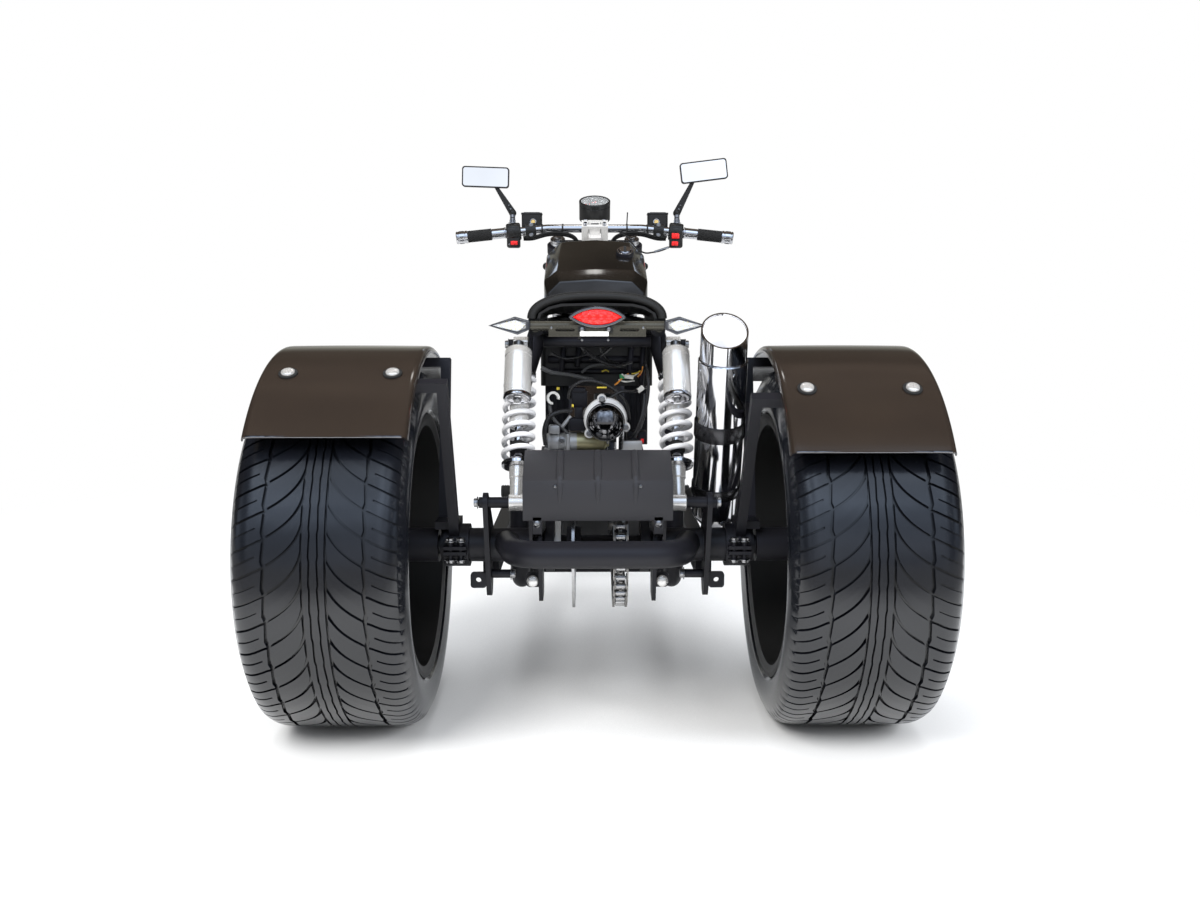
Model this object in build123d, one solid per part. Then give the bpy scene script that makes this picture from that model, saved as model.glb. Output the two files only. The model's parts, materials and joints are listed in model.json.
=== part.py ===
"""Three-wheeled scooter with wide rear tyres on a solid axle, built from named pieces.

Millimetres. +X is the rider's right, +Y is forward, +Z is up, and the ground is z = 0.
Sizes are measured forwards from the rear axle; at() puts them in the frame of the whole.
"""
import math
import os

from build123d import *

# Clearances
FIT = 0.3
RUN_FIT = 0.06
MOVE_GAP = 5.5

# Wheels
WHEELBASE = 1450.0
REAR_TYRE_R = 330.0
REAR_TYRE_W = 285.0
REAR_WHEEL_X = 449.6
REAR_SEAT_R = 228.6
REAR_RIM_W = 268.0
FRONT_TYRE_R = 307.0
FRONT_TYRE_W = 130.0
FRONT_SEAT_R = 190.5
FRONT_RIM_W = 98.0
RIM_LIP = 16.0
RIM_WALL = 5.0
RIM_FLANGE_T = 6.5
SPOKES = 5

# Rear axle
SHAFT_R = 17.5
HOUSING_R = 31.5
HOUSING_BORE_R = 25.0
CARRIER_X = 80.0
CARRIER_W = 16.0
CARRIER_R = 50.0
CLAMP_X = 238.0
CLAMP_END_X = 290.0
CLAMP_R = 40.0
DISC_X = -44.0
DISC_R = 117.0
DISC_T = 5.0
HUB_COLLAR_R = 34.0
HUB_COLLAR_W = 26.0

# Chain
CHAIN_X = 41.0
CHAIN_PITCH_DEG = 10.0
REAR_TEETH = 36
FRONT_TEETH = 14
CHAIN_PITCH = 19.05
CHAIN_LINKS = 48
CHAIN_PLATE_T = 2.6
CHAIN_PLATE_R = 8.0
CHAIN_W = 26.0
ROLLER_R = 6.0
SPROCKET_T = 5.0

# Swingarm
SIDE_PLATE_X = 202.0
SIDE_PLATE_T = 9.0
INNER_PLATE_X = 102.0
INNER_PLATE_T = 7.5
LUG_X = 122.0
LUG_T = 6.0
ARM_W = 30.0
ARM_H = 50.0
PIVOT_Y = 500.0
PIVOT_Z = 290.0
PIVOT_R = 22.0
TAB_SIDE = 29.5
TAB_T = 8.0
TAB_X = 221.0
TAB_Z = 269.0
TAB_Y = -22.0
TAB_HOLE_R = 5.0

# Frame
RAIL_X = 156.0
RAIL_Z = 208.0
RAIL_R = 19.5
RAIL_REAR_Y = 135.0
RAIL_FRONT_GAP = 520.0
RAIL_BEND_R = 90.0
SEAT_RAIL_X = 115.0
SEAT_RAIL_Z = 730.0
SEAT_RAIL_R = 14.0
SEAT_RAIL_END_Y = 60.0
TOP_TUBE_X = 40.0

# Shocks
SHOCK_X = 146.0
SHOCK_LOW = (-65.0, 422.0)
SHOCK_TOP = (100.0, 700.0)
SHOCK_EYE_R = 15.0
SHOCK_EYE_W = 28.0
SHOCK_BOLT_R = 6.0
SPRING_R = 26.5
SPRING_WIRE_R = 5.0
SPRING_TURNS = 7
SPRING_SEAT_R = 30.0
SPRING_LOW = 82.0
SPRING_HIGH = 246.0
RESERVOIR_R = 25.5
RESERVOIR_GAP = 3.0

# Steering
RAKE = 30.0
FORK_OFFSET = 29.4
FORK_LENGTH = 719.0
FORK_X = 103.0
FORK_TUBE_R = 20.5
SLIDER_R = 26.0
SLIDER_TOP = 335.0
STEM_R = 15.0
HEAD_R = 27.0
HEAD_L = 150.0
TOP_YOKE_T = 24.0
LOW_YOKE_T = 36.0
YOKE_GAP = 1.0
YOKE_SWEEP = 53.0
FRONT_AXLE_R = 8.0

# Handlebar
BAR_R = 11.0
BAR_RISE = 69.5
BAR_AHEAD = 13.6
BAR_HALF = 377.0
BAR_STRAIGHT = 130.0
BAR_DROP = 27.0
BAR_SWEEP = 20.0
GRIP_CUTS = (242.5, 282.0, 347.0, 379.0)
SWITCH_CUTS = (203.0, 242.0)
LEVER_CUTS = (162.0, 190.0)
MIRROR_STEM_X = 225.0
GRIP_R = 16.0

# Rear fenders
FENDER_GAP = 42.0
FENDER_T = 4.0
FENDER_IN_X = 303.0
FENDER_OUT_X = 570.0
FENDER_DROP = 14.0
REAR_ARM_X = 264.0
FRONT_ARM_X = 290.0
BRACKET_W = 18.0
BRACKET_DROP = 20.0
FENDER_BOLTS = (345.0, 520.0)
FRONT_ARM_ANGLE = 106.0
# side, angle of the rear arm and of the rear edge above the rear horizontal
FENDER_ARMS = ((-1, 63.0), (1, 56.0))
FENDER_EDGES = ((-1, 40.0), (1, 35.5))
FENDER_FRONT_ANGLE = 128.0

# Muffler
MUFFLER_X = 230.0
MUFFLER_R = 46.0
MUFFLER_LOW = (95.0, 352.0)
MUFFLER_LEAN = 18.0
MUFFLER_L = 342.0

# Front disc brake
FRONT_DISC_X = -64.0
FRONT_DISC_R = 118.0
FRONT_DISC_T = 4.0

# Engine and intake
CRANKCASE_RIGHT = 22.0
CRANKCASE_LEFT = -70.0
CRANKCASE_TOP = 484.0
STARTER_Y = 168.0
STARTER_R = 19.0
INTAKE_X = 17.0
INTAKE_Z = 549.0
INTAKE_Y = 130.0
INTAKE_R = 39.0
DUCT_R = 24.0

# Seat: y and height of its top at each section
SEAT_HALF = 133.0
SEAT_BAND = 20.0
SEAT_LOW = 750.0
SEAT_REAR = 60.0
SEAT_FRONT = 480.0
SEAT_LINE = ((SEAT_REAR, 800.0), (150.0, 793.0), (300.0, 784.0), (SEAT_FRONT, 798.0))

# Tank: share of the length, half width, bottom, side top, shoulder inset, top of each section
TANK_REAR = 486.0
TANK_FRONT_GAP = 465.0
TANK_LINE = (
    (0.0, 110.0, 760.0, 800.0, 28.0, 832.0),
    (0.07, 119.0, 752.0, 830.0, 32.0, 858.0),
    (0.5, 121.0, 752.0, 896.0, 38.0, 934.0),
    (0.83, 107.0, 790.0, 884.0, 38.0, 920.0),
    (1.0, 91.0, 830.0, 862.0, 32.0, 890.0),
)

# Ignition lock on the tank
KEY_X = 70.0
KEY_Y = 630.0
KEY_R = 22.0

# Tail lamp
TAIL_Z = 753.5
TAIL_HALF = 52.0
TAIL_RISE = 19.0
TAIL_RIM_X = 5.2
TAIL_RIM_Z = 3.6

# Tail: cross bar, number plate holder and signals
BAR_END_X = 124.0
SIGNAL_Y = 30.0
SIGNAL_Z = 737.0
SIGNAL_L = 76.5
PLATE_W = 178.0
SLOT_X = 59.0
SLOT_L = 36.0
SLOT_W = 6.0
PLATE_Z = 730.5
PLATE_T = 3.0
PLATE_Y = 3.0

# Mirrors: side, centre x, centre z and tilt of each
MIRRORS = ((-1, 297.5, 1119.0, -2.0), (1, 297.5, 1136.0, -7.0))
MIRROR_W = 128.0
MIRROR_H = 55.0

# Headlamp
LAMP_BACK = 160.0
LAMP_DROP = 63.7
LAMP_R = 85.0


REAR_AXLE_Z = REAR_TYRE_R
FRONT_AXLE_Z = FRONT_TYRE_R
REAR_AXLE_Y = -(WHEELBASE + FRONT_TYRE_R - REAR_TYRE_R) / 2
RAIL_FRONT_Y = WHEELBASE - RAIL_FRONT_GAP
FENDER_R = REAR_TYRE_R + FENDER_GAP
BRACKET_ARM_R = FENDER_R - FENDER_T - BRACKET_DROP
LAMP_Y = WHEELBASE - LAMP_BACK
LAMP_Z = FRONT_AXLE_Z + FORK_LENGTH * math.cos(math.radians(RAKE)) - LAMP_DROP
UP = (0.0, -math.sin(math.radians(RAKE)), math.cos(math.radians(RAKE)))
AHEAD = (0.0, math.cos(math.radians(RAKE)), math.sin(math.radians(RAKE)))


def at(x, y, z):
    """Point in the frame of the whole from a place measured from the rear axle."""
    return Vector(x, REAR_AXLE_Y + y, z)


def steer(x, ahead, up):
    """Point measured from the middle of the top yoke, along and across the steering axis."""
    y = WHEELBASE + UP[1] * (FORK_LENGTH + up) + AHEAD[1] * (ahead - FORK_OFFSET)
    z = FRONT_AXLE_Z + UP[2] * (FORK_LENGTH + up) + AHEAD[2] * (ahead - FORK_OFFSET)
    return at(x, y, z)


def steer_plane(origin):
    """Plane across the steering axis, x to the right and its normal up the axis."""
    return Plane(origin=origin, x_dir=(1, 0, 0), z_dir=UP)


def rod(start, end, radius, bore=0.0):
    """Straight round bar or tube between two points."""
    plane = Plane(origin=start, z_dir=end - start)
    bar = extrude(plane * Circle(radius), amount=(end - start).length)
    if bore:
        bar -= extrude(plane * Circle(bore), amount=(end - start).length)
    return bar


def tube(points, radius, bend):
    """Round tube along straight runs joined by bends."""
    path = FilletPolyline(*points, radius=bend)
    return sweep(Plane(origin=path @ 0, z_dir=path % 0) * Circle(radius), path)


def square_tube(points, width):
    """Square tube along straight runs, mitred at the corners."""
    path = Polyline(*points)
    section = Plane(origin=path @ 0, z_dir=path % 0, x_dir=(1, 0, 0)) * Rectangle(width, width)
    return sweep(section, path, transition=Transition.RIGHT)


def side_sheet(circles, x, thick):
    """Flat sheet in a side plane, shrunk round circles given as (y, z, radius)."""
    ring = Sketch() + [Pos(y, z) * Circle(r) for y, z, r in circles]
    plane = Plane(origin=at(x - thick / 2, 0, 0), x_dir=(0, 1, 0), z_dir=(1, 0, 0))
    return extrude(plane * make_hull(ring.edges()), amount=thick)


def side_outline(points, x_low, x_high, corner=0.0):
    """Block between two side planes with the outline of points given as (y, z)."""
    plane = Plane(origin=at(x_low, 0, 0), x_dir=(0, 1, 0), z_dir=(1, 0, 0))
    outline = make_face(Polyline(*points, close=True))
    if corner:
        outline = fillet(outline.vertices(), corner)
    return extrude(plane * outline, amount=x_high - x_low)


def block(x, y, z):
    """Plain block from (low, high) pairs."""
    size = [high - low for low, high in (x, y, z)]
    middle = at((x[0] + x[1]) / 2, (y[0] + y[1]) / 2, (z[0] + z[1]) / 2)
    return Pos(*middle) * Box(*size)


def spun(profile, x, y, z, start=0.0, arc=360.0):
    """Ring about a cross axle through (x, y, z) from a profile of (across, radius)."""
    face = make_face(Polyline(*[(a, r) for a, r in profile], close=True))
    ring = revolve(Plane.XY * face, Axis.X, arc)
    return Pos(*at(x, y, z)) * (Rot(start, 0, 0) * ring)


def mirrored(solid):
    """The same piece on the other side."""
    return mirror(solid, about=Plane.YZ)


def both(solid):
    """A right-hand piece and its left-hand twin."""
    return [solid, mirrored(solid)]


def fuse(*pieces):
    """One solid from pieces that meet."""
    whole = Part()
    for piece in pieces:
        whole += piece
    return whole


def solids_of(*pieces):
    """All solids in a mix of pieces and lists."""
    found = []
    for piece in pieces:
        found += solids_of(*piece) if isinstance(piece, list) else list(piece.solids())
    return found


def save(name, *pieces):
    """Write one node, with each solid kept by itself."""
    export_step(Compound(children=solids_of(*pieces)), f"parts/{name}.step")


def chain_centres():
    """Distance between the sprockets at which a whole number of links closes."""
    big = rear_pitch_radius()
    small = front_pitch_radius()
    wanted = CHAIN_LINKS * math.radians(CHAIN_PITCH_DEG) * big
    distance = wanted / 4
    for _ in range(40):
        lean = math.asin((big - small) / distance)
        length = 2 * distance * math.cos(lean) + big * (math.pi + 2 * lean) + small * (math.pi - 2 * lean)
        distance += (wanted - length) / 2
    return distance


def rear_pitch_radius():
    """Pitch radius of the axle's sprocket."""
    return CHAIN_PITCH / (2 * math.sin(math.pi / REAR_TEETH))


def front_pitch_radius():
    """Pitch radius of the engine's sprocket."""
    return CHAIN_PITCH / (2 * math.sin(math.pi / FRONT_TEETH))


def chain_point(step, out):
    """Place on the chain's loop, counted in links from its rearmost pin, moved outwards."""
    big = rear_pitch_radius()
    small = front_pitch_radius()
    span = chain_centres()
    lean = math.asin((big - small) / span)
    run = span * math.cos(lean)
    turn = math.pi / 2 + lean
    travel = (step % CHAIN_LINKS) * math.radians(CHAIN_PITCH_DEG) * big
    lengths = (big * turn, run, small * (2 * math.pi - 2 * turn), run)
    if travel <= lengths[0]:
        angle = math.pi - travel / big
        return (big + out) * math.cos(angle), (big + out) * math.sin(angle)
    travel -= lengths[0]
    angle = math.pi - turn
    if travel <= run:
        y = (big + out) * math.cos(angle) + travel * math.sin(angle)
        return y, (big + out) * math.sin(angle) - travel * math.cos(angle)
    travel -= run
    if travel <= lengths[2]:
        angle -= travel / small
        return span + (small + out) * math.cos(angle), (small + out) * math.sin(angle)
    travel -= lengths[2]
    angle = turn - math.pi
    y = span + (small + out) * math.cos(angle) + travel * math.sin(angle)
    return y, (small + out) * math.sin(angle) - travel * math.cos(angle)


def tyre_profile(radius, width, seat_r, rim_w):
    """Half-flat tyre section as (across, radius), both sides."""
    half = width / 2
    bead = rim_w / 2 - RIM_FLANGE_T - FIT
    side = [
        (half * 0.66, radius - radius * 0.012),
        (half * 0.91, radius - radius * 0.05),
        (half, radius - (radius - seat_r) * 0.45),
        (half * 0.97, seat_r + RIM_LIP + 8),
        (bead, seat_r + RIM_LIP),
        (bead, seat_r + FIT),
    ]
    return [(0, radius)] + side + [(-a, r) for a, r in reversed(side)]


def rim_profile(seat_r, rim_w):
    """Barrel section with a lip on each edge."""
    half = rim_w / 2
    inside = seat_r - RIM_WALL
    side = [(half - RIM_FLANGE_T, seat_r), (half - RIM_FLANGE_T, seat_r + RIM_LIP)]
    side += [(half, seat_r + RIM_LIP), (half, seat_r + RIM_LIP / 2), (half - 4, inside)]
    return side + [(-a, r) for a, r in reversed(side)]


def wheel_face(seat_r, x, face_x, thick, hub_r, bore_r):
    """Spoked face: a dished disc with a window between each pair of spokes."""
    inside = seat_r - RIM_WALL + 1
    disc = extrude(Plane(origin=at(face_x - thick / 2, 0, 0), x_dir=(0, 1, 0), z_dir=(1, 0, 0))
                   * Circle(inside), amount=thick)
    window = Sketch() + Circle(inside - 16) - Circle(hub_r + 14)
    spread = 360 / SPOKES
    wedge = make_face(Polyline((0, 0), (400, 400 * math.tan(math.radians(spread * 0.34))),
                               (400, -400 * math.tan(math.radians(spread * 0.34))), close=True))
    window = window & wedge
    window = fillet(window.vertices(), 9)
    for index in range(SPOKES):
        plane = Plane(origin=at(face_x - thick, 0, 0), x_dir=(0, 1, 0), z_dir=(1, 0, 0))
        disc -= extrude(plane * (Rot(0, 0, 90 + spread * (index + 0.5)) * window), amount=thick * 2)
    hub = spun([(face_x - thick / 2 - 8, 0.0001), (face_x - thick / 2 - 8, hub_r),
                (face_x + thick / 2 + 6, hub_r - 6), (face_x + thick / 2 + 6, 0.0001)], x, 0, 0)
    hole = rod(at(face_x - thick, 0, 0), at(face_x + thick, 0, 0), bore_r)
    return disc + hub - hole


def rear_tyres():
    """The two wide road tyres."""
    profile = tyre_profile(REAR_TYRE_R, REAR_TYRE_W, REAR_SEAT_R, REAR_RIM_W)
    tyre = spun(profile, REAR_WHEEL_X, 0, REAR_AXLE_Z)
    save("rear_tyres", both(tyre))


def rear_rims():
    """Deep rims with the spokes near the outer edge."""
    barrel = spun(rim_profile(REAR_SEAT_R, REAR_RIM_W), REAR_WHEEL_X, 0, REAR_AXLE_Z)
    face_x = REAR_WHEEL_X + REAR_RIM_W / 2 - 34
    face = wheel_face(REAR_SEAT_R, 0, face_x, 22, 62, HOUSING_R + FIT)
    face = Pos(0, 0, REAR_AXLE_Z) * face
    save("rear_rims", both(fuse(barrel, face)))


def axle_shaft():
    """Live axle with its wheel hubs and the collars of the disc and the sprocket."""
    end_x = REAR_WHEEL_X + REAR_RIM_W / 2 - 16
    hub_x = CLAMP_END_X + MOVE_GAP
    face_x = REAR_WHEEL_X + REAR_RIM_W / 2 - 34 - 11 - 8
    shaft = rod(at(-end_x, 0, REAR_AXLE_Z), at(end_x, 0, REAR_AXLE_Z), SHAFT_R)
    tubes = [rod(at(s * hub_x, 0, REAR_AXLE_Z), at(s * end_x, 0, REAR_AXLE_Z), HOUSING_R)
             for s in (-1, 1)]
    flanges = [rod(at(s * (face_x - 12), 0, REAR_AXLE_Z), at(s * (face_x - FIT), 0, REAR_AXLE_Z), 58)
               for s in (-1, 1)]
    collars = []
    for side, middle in ((-1, DISC_X), (1, CHAIN_X)):
        low = middle - side * HUB_COLLAR_W / 2
        collars.append(rod(at(low, 0, REAR_AXLE_Z), at(low + side * HUB_COLLAR_W, 0, REAR_AXLE_Z),
                           HUB_COLLAR_R))
    save("axle_shaft", fuse(shaft, *tubes, *flanges, *collars))


def rear_sprocket():
    """Toothed ring on the axle, its gullets under the chain's rollers."""
    pitch_r = rear_pitch_radius()
    points = []
    for tooth in range(REAR_TEETH):
        for shift, radius in ((0.0, pitch_r - ROLLER_R - 0.6), (0.26, pitch_r - ROLLER_R + 0.2),
                              (0.45, pitch_r + 3.0), (0.55, pitch_r + 3.0),
                              (0.74, pitch_r - ROLLER_R + 0.2)):
            angle = 2 * math.pi * (tooth + shift) / REAR_TEETH
            points.append((radius * math.cos(angle), radius * math.sin(angle)))
    face = make_face(Polyline(*points, close=True)) - Circle(HUB_COLLAR_R + RUN_FIT)
    holes = PolarLocations(68, 6) * Circle(16)
    face -= holes
    plane = Plane(origin=at(CHAIN_X - SPROCKET_T / 2, 0, REAR_AXLE_Z), x_dir=(0, 1, 0), z_dir=(1, 0, 0))
    save("rear_sprocket", extrude(plane * face, amount=SPROCKET_T))


def rear_brake_disc():
    """Drilled disc on the axle."""
    face = Circle(DISC_R) - Circle(HUB_COLLAR_R + RUN_FIT)
    face -= PolarLocations(62, 6) * Circle(14)
    plane = Plane(origin=at(DISC_X - DISC_T / 2, 0, REAR_AXLE_Z), x_dir=(0, 1, 0), z_dir=(1, 0, 0))
    save("rear_brake_disc", extrude(plane * face, amount=DISC_T))


def drive_chain():
    """Chain as one closed loop of plates and rollers, with the engine's sprocket in it."""
    centre = at(CHAIN_X, 0, REAR_AXLE_Z)
    plates = []
    outer = []
    inner = []
    for link in range(CHAIN_LINKS):
        outer += [chain_point(link, CHAIN_PLATE_R), chain_point(link + 0.5, CHAIN_PLATE_R - 2.5)]
        inner += [chain_point(link, -CHAIN_PLATE_R), chain_point(link + 0.5, 2.5 - CHAIN_PLATE_R)]
    for low in (-CHAIN_W / 2, CHAIN_W / 2 - CHAIN_PLATE_T):
        plane = Plane(origin=centre + Vector(low, 0, 0), x_dir=(0, 1, 0), z_dir=(1, 0, 0))
        band = make_face(Polyline(*outer, close=True)) - make_face(Polyline(*inner, close=True))
        plates.append(extrude(plane * band, amount=CHAIN_PLATE_T))
    plane = Plane(origin=centre - Vector(CHAIN_W / 2 - CHAIN_PLATE_T / 2, 0, 0),
                  x_dir=(0, 1, 0), z_dir=(1, 0, 0))
    pins = Sketch() + [Pos(*chain_point(link, 0)) * RegularPolygon(ROLLER_R, 6)
                       for link in range(CHAIN_LINKS)]
    rollers = extrude(plane * pins, amount=CHAIN_W - CHAIN_PLATE_T)
    middle = chain_centres()
    sprocket = rod(at(CHAIN_X - SPROCKET_T / 2, middle, REAR_AXLE_Z),
                   at(CHAIN_X + SPROCKET_T / 2, middle, REAR_AXLE_Z), front_pitch_radius())
    shaft = rod(at(CRANKCASE_RIGHT + FIT, middle, REAR_AXLE_Z),
                at(CHAIN_X + 16, middle, REAR_AXLE_Z), 11)
    save("drive_chain", fuse(*plates, rollers, sprocket, shaft))


def axle_housing():
    """Fixed tubes round the axle with bearing carriers, split clamps, hanging plates and lugs."""
    carrier_end = CARRIER_X + CARRIER_W
    carrier = rod(at(CARRIER_X, 0, REAR_AXLE_Z), at(carrier_end, 0, REAR_AXLE_Z), CARRIER_R)
    tube_part = rod(at(carrier_end, 0, REAR_AXLE_Z), at(CLAMP_END_X, 0, REAR_AXLE_Z), HOUSING_R)
    clamp = rod(at(CLAMP_X, 0, REAR_AXLE_Z), at(CLAMP_END_X - 6, 0, REAR_AXLE_Z), CLAMP_R)
    ears = [block((CLAMP_X + 2, CLAMP_END_X - 8), (-56, 56), (REAR_AXLE_Z + low, REAR_AXLE_Z + low + 6))
            for low in (-8, 2)]
    bolts = [rod(at(x, y, REAR_AXLE_Z - 17), at(x, y, REAR_AXLE_Z + 17), 5)
             for x in (CLAMP_X + 13, CLAMP_END_X - 20) for y in (-48, 48)]
    plate = side_sheet([(0, REAR_AXLE_Z, HOUSING_R + 12), (-6, 236, 13), (24, 240, 13)],
                       INNER_PLATE_X + INNER_PLATE_T / 2, INNER_PLATE_T)
    lug = side_sheet([(0, REAR_AXLE_Z, HOUSING_R + 6), (*SHOCK_LOW, 16)], LUG_X, LUG_T)
    lug -= rod(at(LUG_X - LUG_T, *SHOCK_LOW), at(LUG_X + LUG_T, *SHOCK_LOW), SHOCK_BOLT_R + FIT)
    ear = block((INNER_PLATE_X, INNER_PLATE_X + 32), (-12, -6), (251, 279))
    ear = fillet(ear.edges().filter_by(Axis.Y), 8)
    ear_bolt = rod(at(INNER_PLATE_X + 19, -24, 265), at(INNER_PLATE_X + 19, -4, 265), 8.5)
    body = fuse(carrier, tube_part, clamp, *ears, *bolts, plate, lug, ear, ear_bolt)
    body -= rod(at(carrier_end, 0, REAR_AXLE_Z), at(CLAMP_END_X + 1, 0, REAR_AXLE_Z), HOUSING_BORE_R)
    body -= rod(at(CARRIER_X - 1, 0, REAR_AXLE_Z), at(CLAMP_END_X, 0, REAR_AXLE_Z), SHAFT_R + RUN_FIT)
    save("axle_housing", both(body))


def swingarm():
    """Side plates, arms and pivot tube, with the shock bolts, adjusters and rear tabs."""
    plate = side_sheet([(0, REAR_AXLE_Z, HOUSING_R + 14), (*SHOCK_LOW, 18), (-8, 257, 22)],
                       SIDE_PLATE_X, SIDE_PLATE_T)
    arm = block((SIDE_PLATE_X - ARM_W / 2, SIDE_PLATE_X + ARM_W / 2), (20, PIVOT_Y),
                (PIVOT_Z - ARM_H / 2, PIVOT_Z + ARM_H / 2))
    eye = rod(at(SIDE_PLATE_X - ARM_W / 2, PIVOT_Y, PIVOT_Z), at(SIDE_PLATE_X + ARM_W / 2, PIVOT_Y, PIVOT_Z),
              ARM_H / 2)
    bolt = rod(at(LUG_X - LUG_T, *SHOCK_LOW), at(SIDE_PLATE_X + 14, *SHOCK_LOW), SHOCK_BOLT_R)
    spacer = rod(at(SHOCK_X + SHOCK_EYE_W / 2 + FIT, *SHOCK_LOW), at(SIDE_PLATE_X, *SHOCK_LOW), 10)
    head = rod(at(SIDE_PLATE_X, *SHOCK_LOW), at(SIDE_PLATE_X + 12, *SHOCK_LOW), 10)
    tab = block((TAB_X - TAB_SIDE / 2, TAB_X + TAB_SIDE / 2), (TAB_Y - TAB_T, TAB_Y),
                (TAB_Z - TAB_SIDE / 2, TAB_Z + TAB_SIDE / 2))
    tab = fillet(tab.edges().filter_by(Axis.Y), 6)
    tab -= rod(at(TAB_X, TAB_Y - TAB_T - 1, TAB_Z), at(TAB_X, TAB_Y + 1, TAB_Z), TAB_HOLE_R)
    adjuster = rod(at(162, -8, 276), at(SIDE_PLATE_X, -8, 276), 8)
    half = fuse(plate, arm, eye, bolt, spacer, head, tab, adjuster)
    half -= rod(at(SIDE_PLATE_X - ARM_W, 0, REAR_AXLE_Z), at(SIDE_PLATE_X + ARM_W, 0, REAR_AXLE_Z),
                HOUSING_R + FIT)
    pivot = rod(at(-SIDE_PLATE_X, PIVOT_Y, PIVOT_Z), at(SIDE_PLATE_X, PIVOT_Y, PIVOT_Z), PIVOT_R)
    save("swingarm", fuse(half, mirrored(half), pivot))


def seat_rail(radius):
    """Upper tube from the steering head under the tank to the tail."""
    return tube([steer(20, -8, -90), at(TOP_TUBE_X, RAIL_FRONT_Y - 30, SEAT_RAIL_Z + 36),
                 at(TOP_TUBE_X, SEAT_FRONT + 110, SEAT_RAIL_Z + 15), at(SEAT_RAIL_X, SEAT_FRONT - 10, SEAT_RAIL_Z),
                 at(SEAT_RAIL_X, SEAT_RAIL_END_Y, SEAT_RAIL_Z)], radius, 60)


def main_frame():
    """Cradle of bent tubes from the steering head to the tail, with its brackets."""
    head = rod(steer(0, 0, -TOP_YOKE_T / 2 - YOKE_GAP - HEAD_L), steer(0, 0, -TOP_YOKE_T / 2 - YOKE_GAP),
               HEAD_R)
    behind_yoke = YOKE_SWEEP + MOVE_GAP + RAIL_R
    cradle = tube([steer(20, -8, -70), steer(24, -behind_yoke, -HEAD_L - 16), at(RAIL_X, RAIL_FRONT_Y, RAIL_Z),
                   at(RAIL_X, RAIL_REAR_Y, RAIL_Z), at(RAIL_X, RAIL_REAR_Y + 55, 600),
                   at(SEAT_RAIL_X, RAIL_REAR_Y + 80, SEAT_RAIL_Z)],
                  RAIL_R, RAIL_BEND_R)
    shock_ear = side_sheet([(*SHOCK_TOP, 16), (SHOCK_TOP[0] + 22, SEAT_RAIL_Z, 14)],
                           SHOCK_X - SHOCK_EYE_W / 2 - 1.5 - LUG_T / 2, LUG_T)
    shock_bolt = rod(at(SEAT_RAIL_X + SEAT_RAIL_R, *SHOCK_TOP),
                     at(SHOCK_X + SHOCK_EYE_W / 2 + 8, *SHOCK_TOP), SHOCK_BOLT_R)
    nut = rod(at(SHOCK_X + SHOCK_EYE_W / 2 + FIT, *SHOCK_TOP),
              at(SHOCK_X + SHOCK_EYE_W / 2 + 9, *SHOCK_TOP), 10)
    pivot_plate = side_sheet([(PIVOT_Y, PIVOT_Z, PIVOT_R + 16), (PIVOT_Y - 40, RAIL_Z, 12),
                              (PIVOT_Y + 40, RAIL_Z, 12)], RAIL_X, 10)
    pivot_plate -= rod(at(RAIL_X - 10, PIVOT_Y, PIVOT_Z), at(RAIL_X + 10, PIVOT_Y, PIVOT_Z), PIVOT_R + FIT)
    half = fuse(cradle, seat_rail(SEAT_RAIL_R), shock_ear, shock_bolt, nut, pivot_plate)
    cross_bars = [rod(at(-RAIL_X, y, RAIL_Z), at(RAIL_X, y, RAIL_Z), 14) for y in (330, RAIL_FRONT_Y - 70)]
    seat_bars = [rod(at(-SEAT_RAIL_X, y, SEAT_RAIL_Z), at(SEAT_RAIL_X, y, SEAT_RAIL_Z), 11)
                 for y in (160, 440)]
    whole = fuse(head, half, mirrored(half), *cross_bars, *seat_bars)
    whole -= rod(steer(0, 0, -HEAD_L * 2), steer(0, 0, 10), STEM_R + RUN_FIT)
    low = low_yoke_bottom()
    whole -= rod(steer(0, 0, low - 20), steer(0, 0, low + LOW_YOKE_T + YOKE_GAP), HEAD_R + 3 + MOVE_GAP)
    save("main_frame", whole)


def shock_place(side, along):
    """Point on a shock's centre line, measured up from its lower bolt."""
    low = at(side * SHOCK_X, *SHOCK_LOW)
    top = at(side * SHOCK_X, *SHOCK_TOP)
    return low + (top - low).normalized() * along


def shock_length():
    """Distance between a shock's two bolts."""
    return math.dist(SHOCK_LOW, SHOCK_TOP)


def shock_bodies():
    """Dampers with their spring seats, eyes and rear reservoirs."""
    length = shock_length()
    rise = (SHOCK_TOP[1] - SHOCK_LOW[1]) / length
    lean = (SHOCK_TOP[0] - SHOCK_LOW[0]) / length
    back = Vector(0, -rise, lean) * (SPRING_R + SPRING_WIRE_R + RESERVOIR_R + RESERVOIR_GAP)
    eyes = [rod(at(SHOCK_X - SHOCK_EYE_W / 2, *end), at(SHOCK_X + SHOCK_EYE_W / 2, *end), SHOCK_EYE_R)
            for end in (SHOCK_LOW, SHOCK_TOP)]
    # low, high and radius of each step along the damper
    steps = ((8, SPRING_LOW - 12, 12), (SPRING_LOW - 12, SPRING_LOW - SPRING_WIRE_R - FIT, SPRING_SEAT_R),
             (SPRING_LOW - 6, 175, 13), (170, 262, 18),
             (SPRING_HIGH + SPRING_WIRE_R + FIT, 262, SPRING_SEAT_R), (262, length - 10, 15))
    body = fuse(*eyes, *[rod(shock_place(1, low), shock_place(1, high), r) for low, high, r in steps])
    reservoir = rod(shock_place(1, 178) + back, shock_place(1, 296) + back, RESERVOIR_R)
    bridge = rod(shock_place(1, 284), shock_place(1, 284) + back, 11)
    body += fuse(reservoir, bridge)
    for end in (SHOCK_LOW, SHOCK_TOP):
        body -= rod(at(SHOCK_X - 30, *end), at(SHOCK_X + 30, *end), SHOCK_BOLT_R + FIT)
    save("shock_bodies", both(body))


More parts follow.
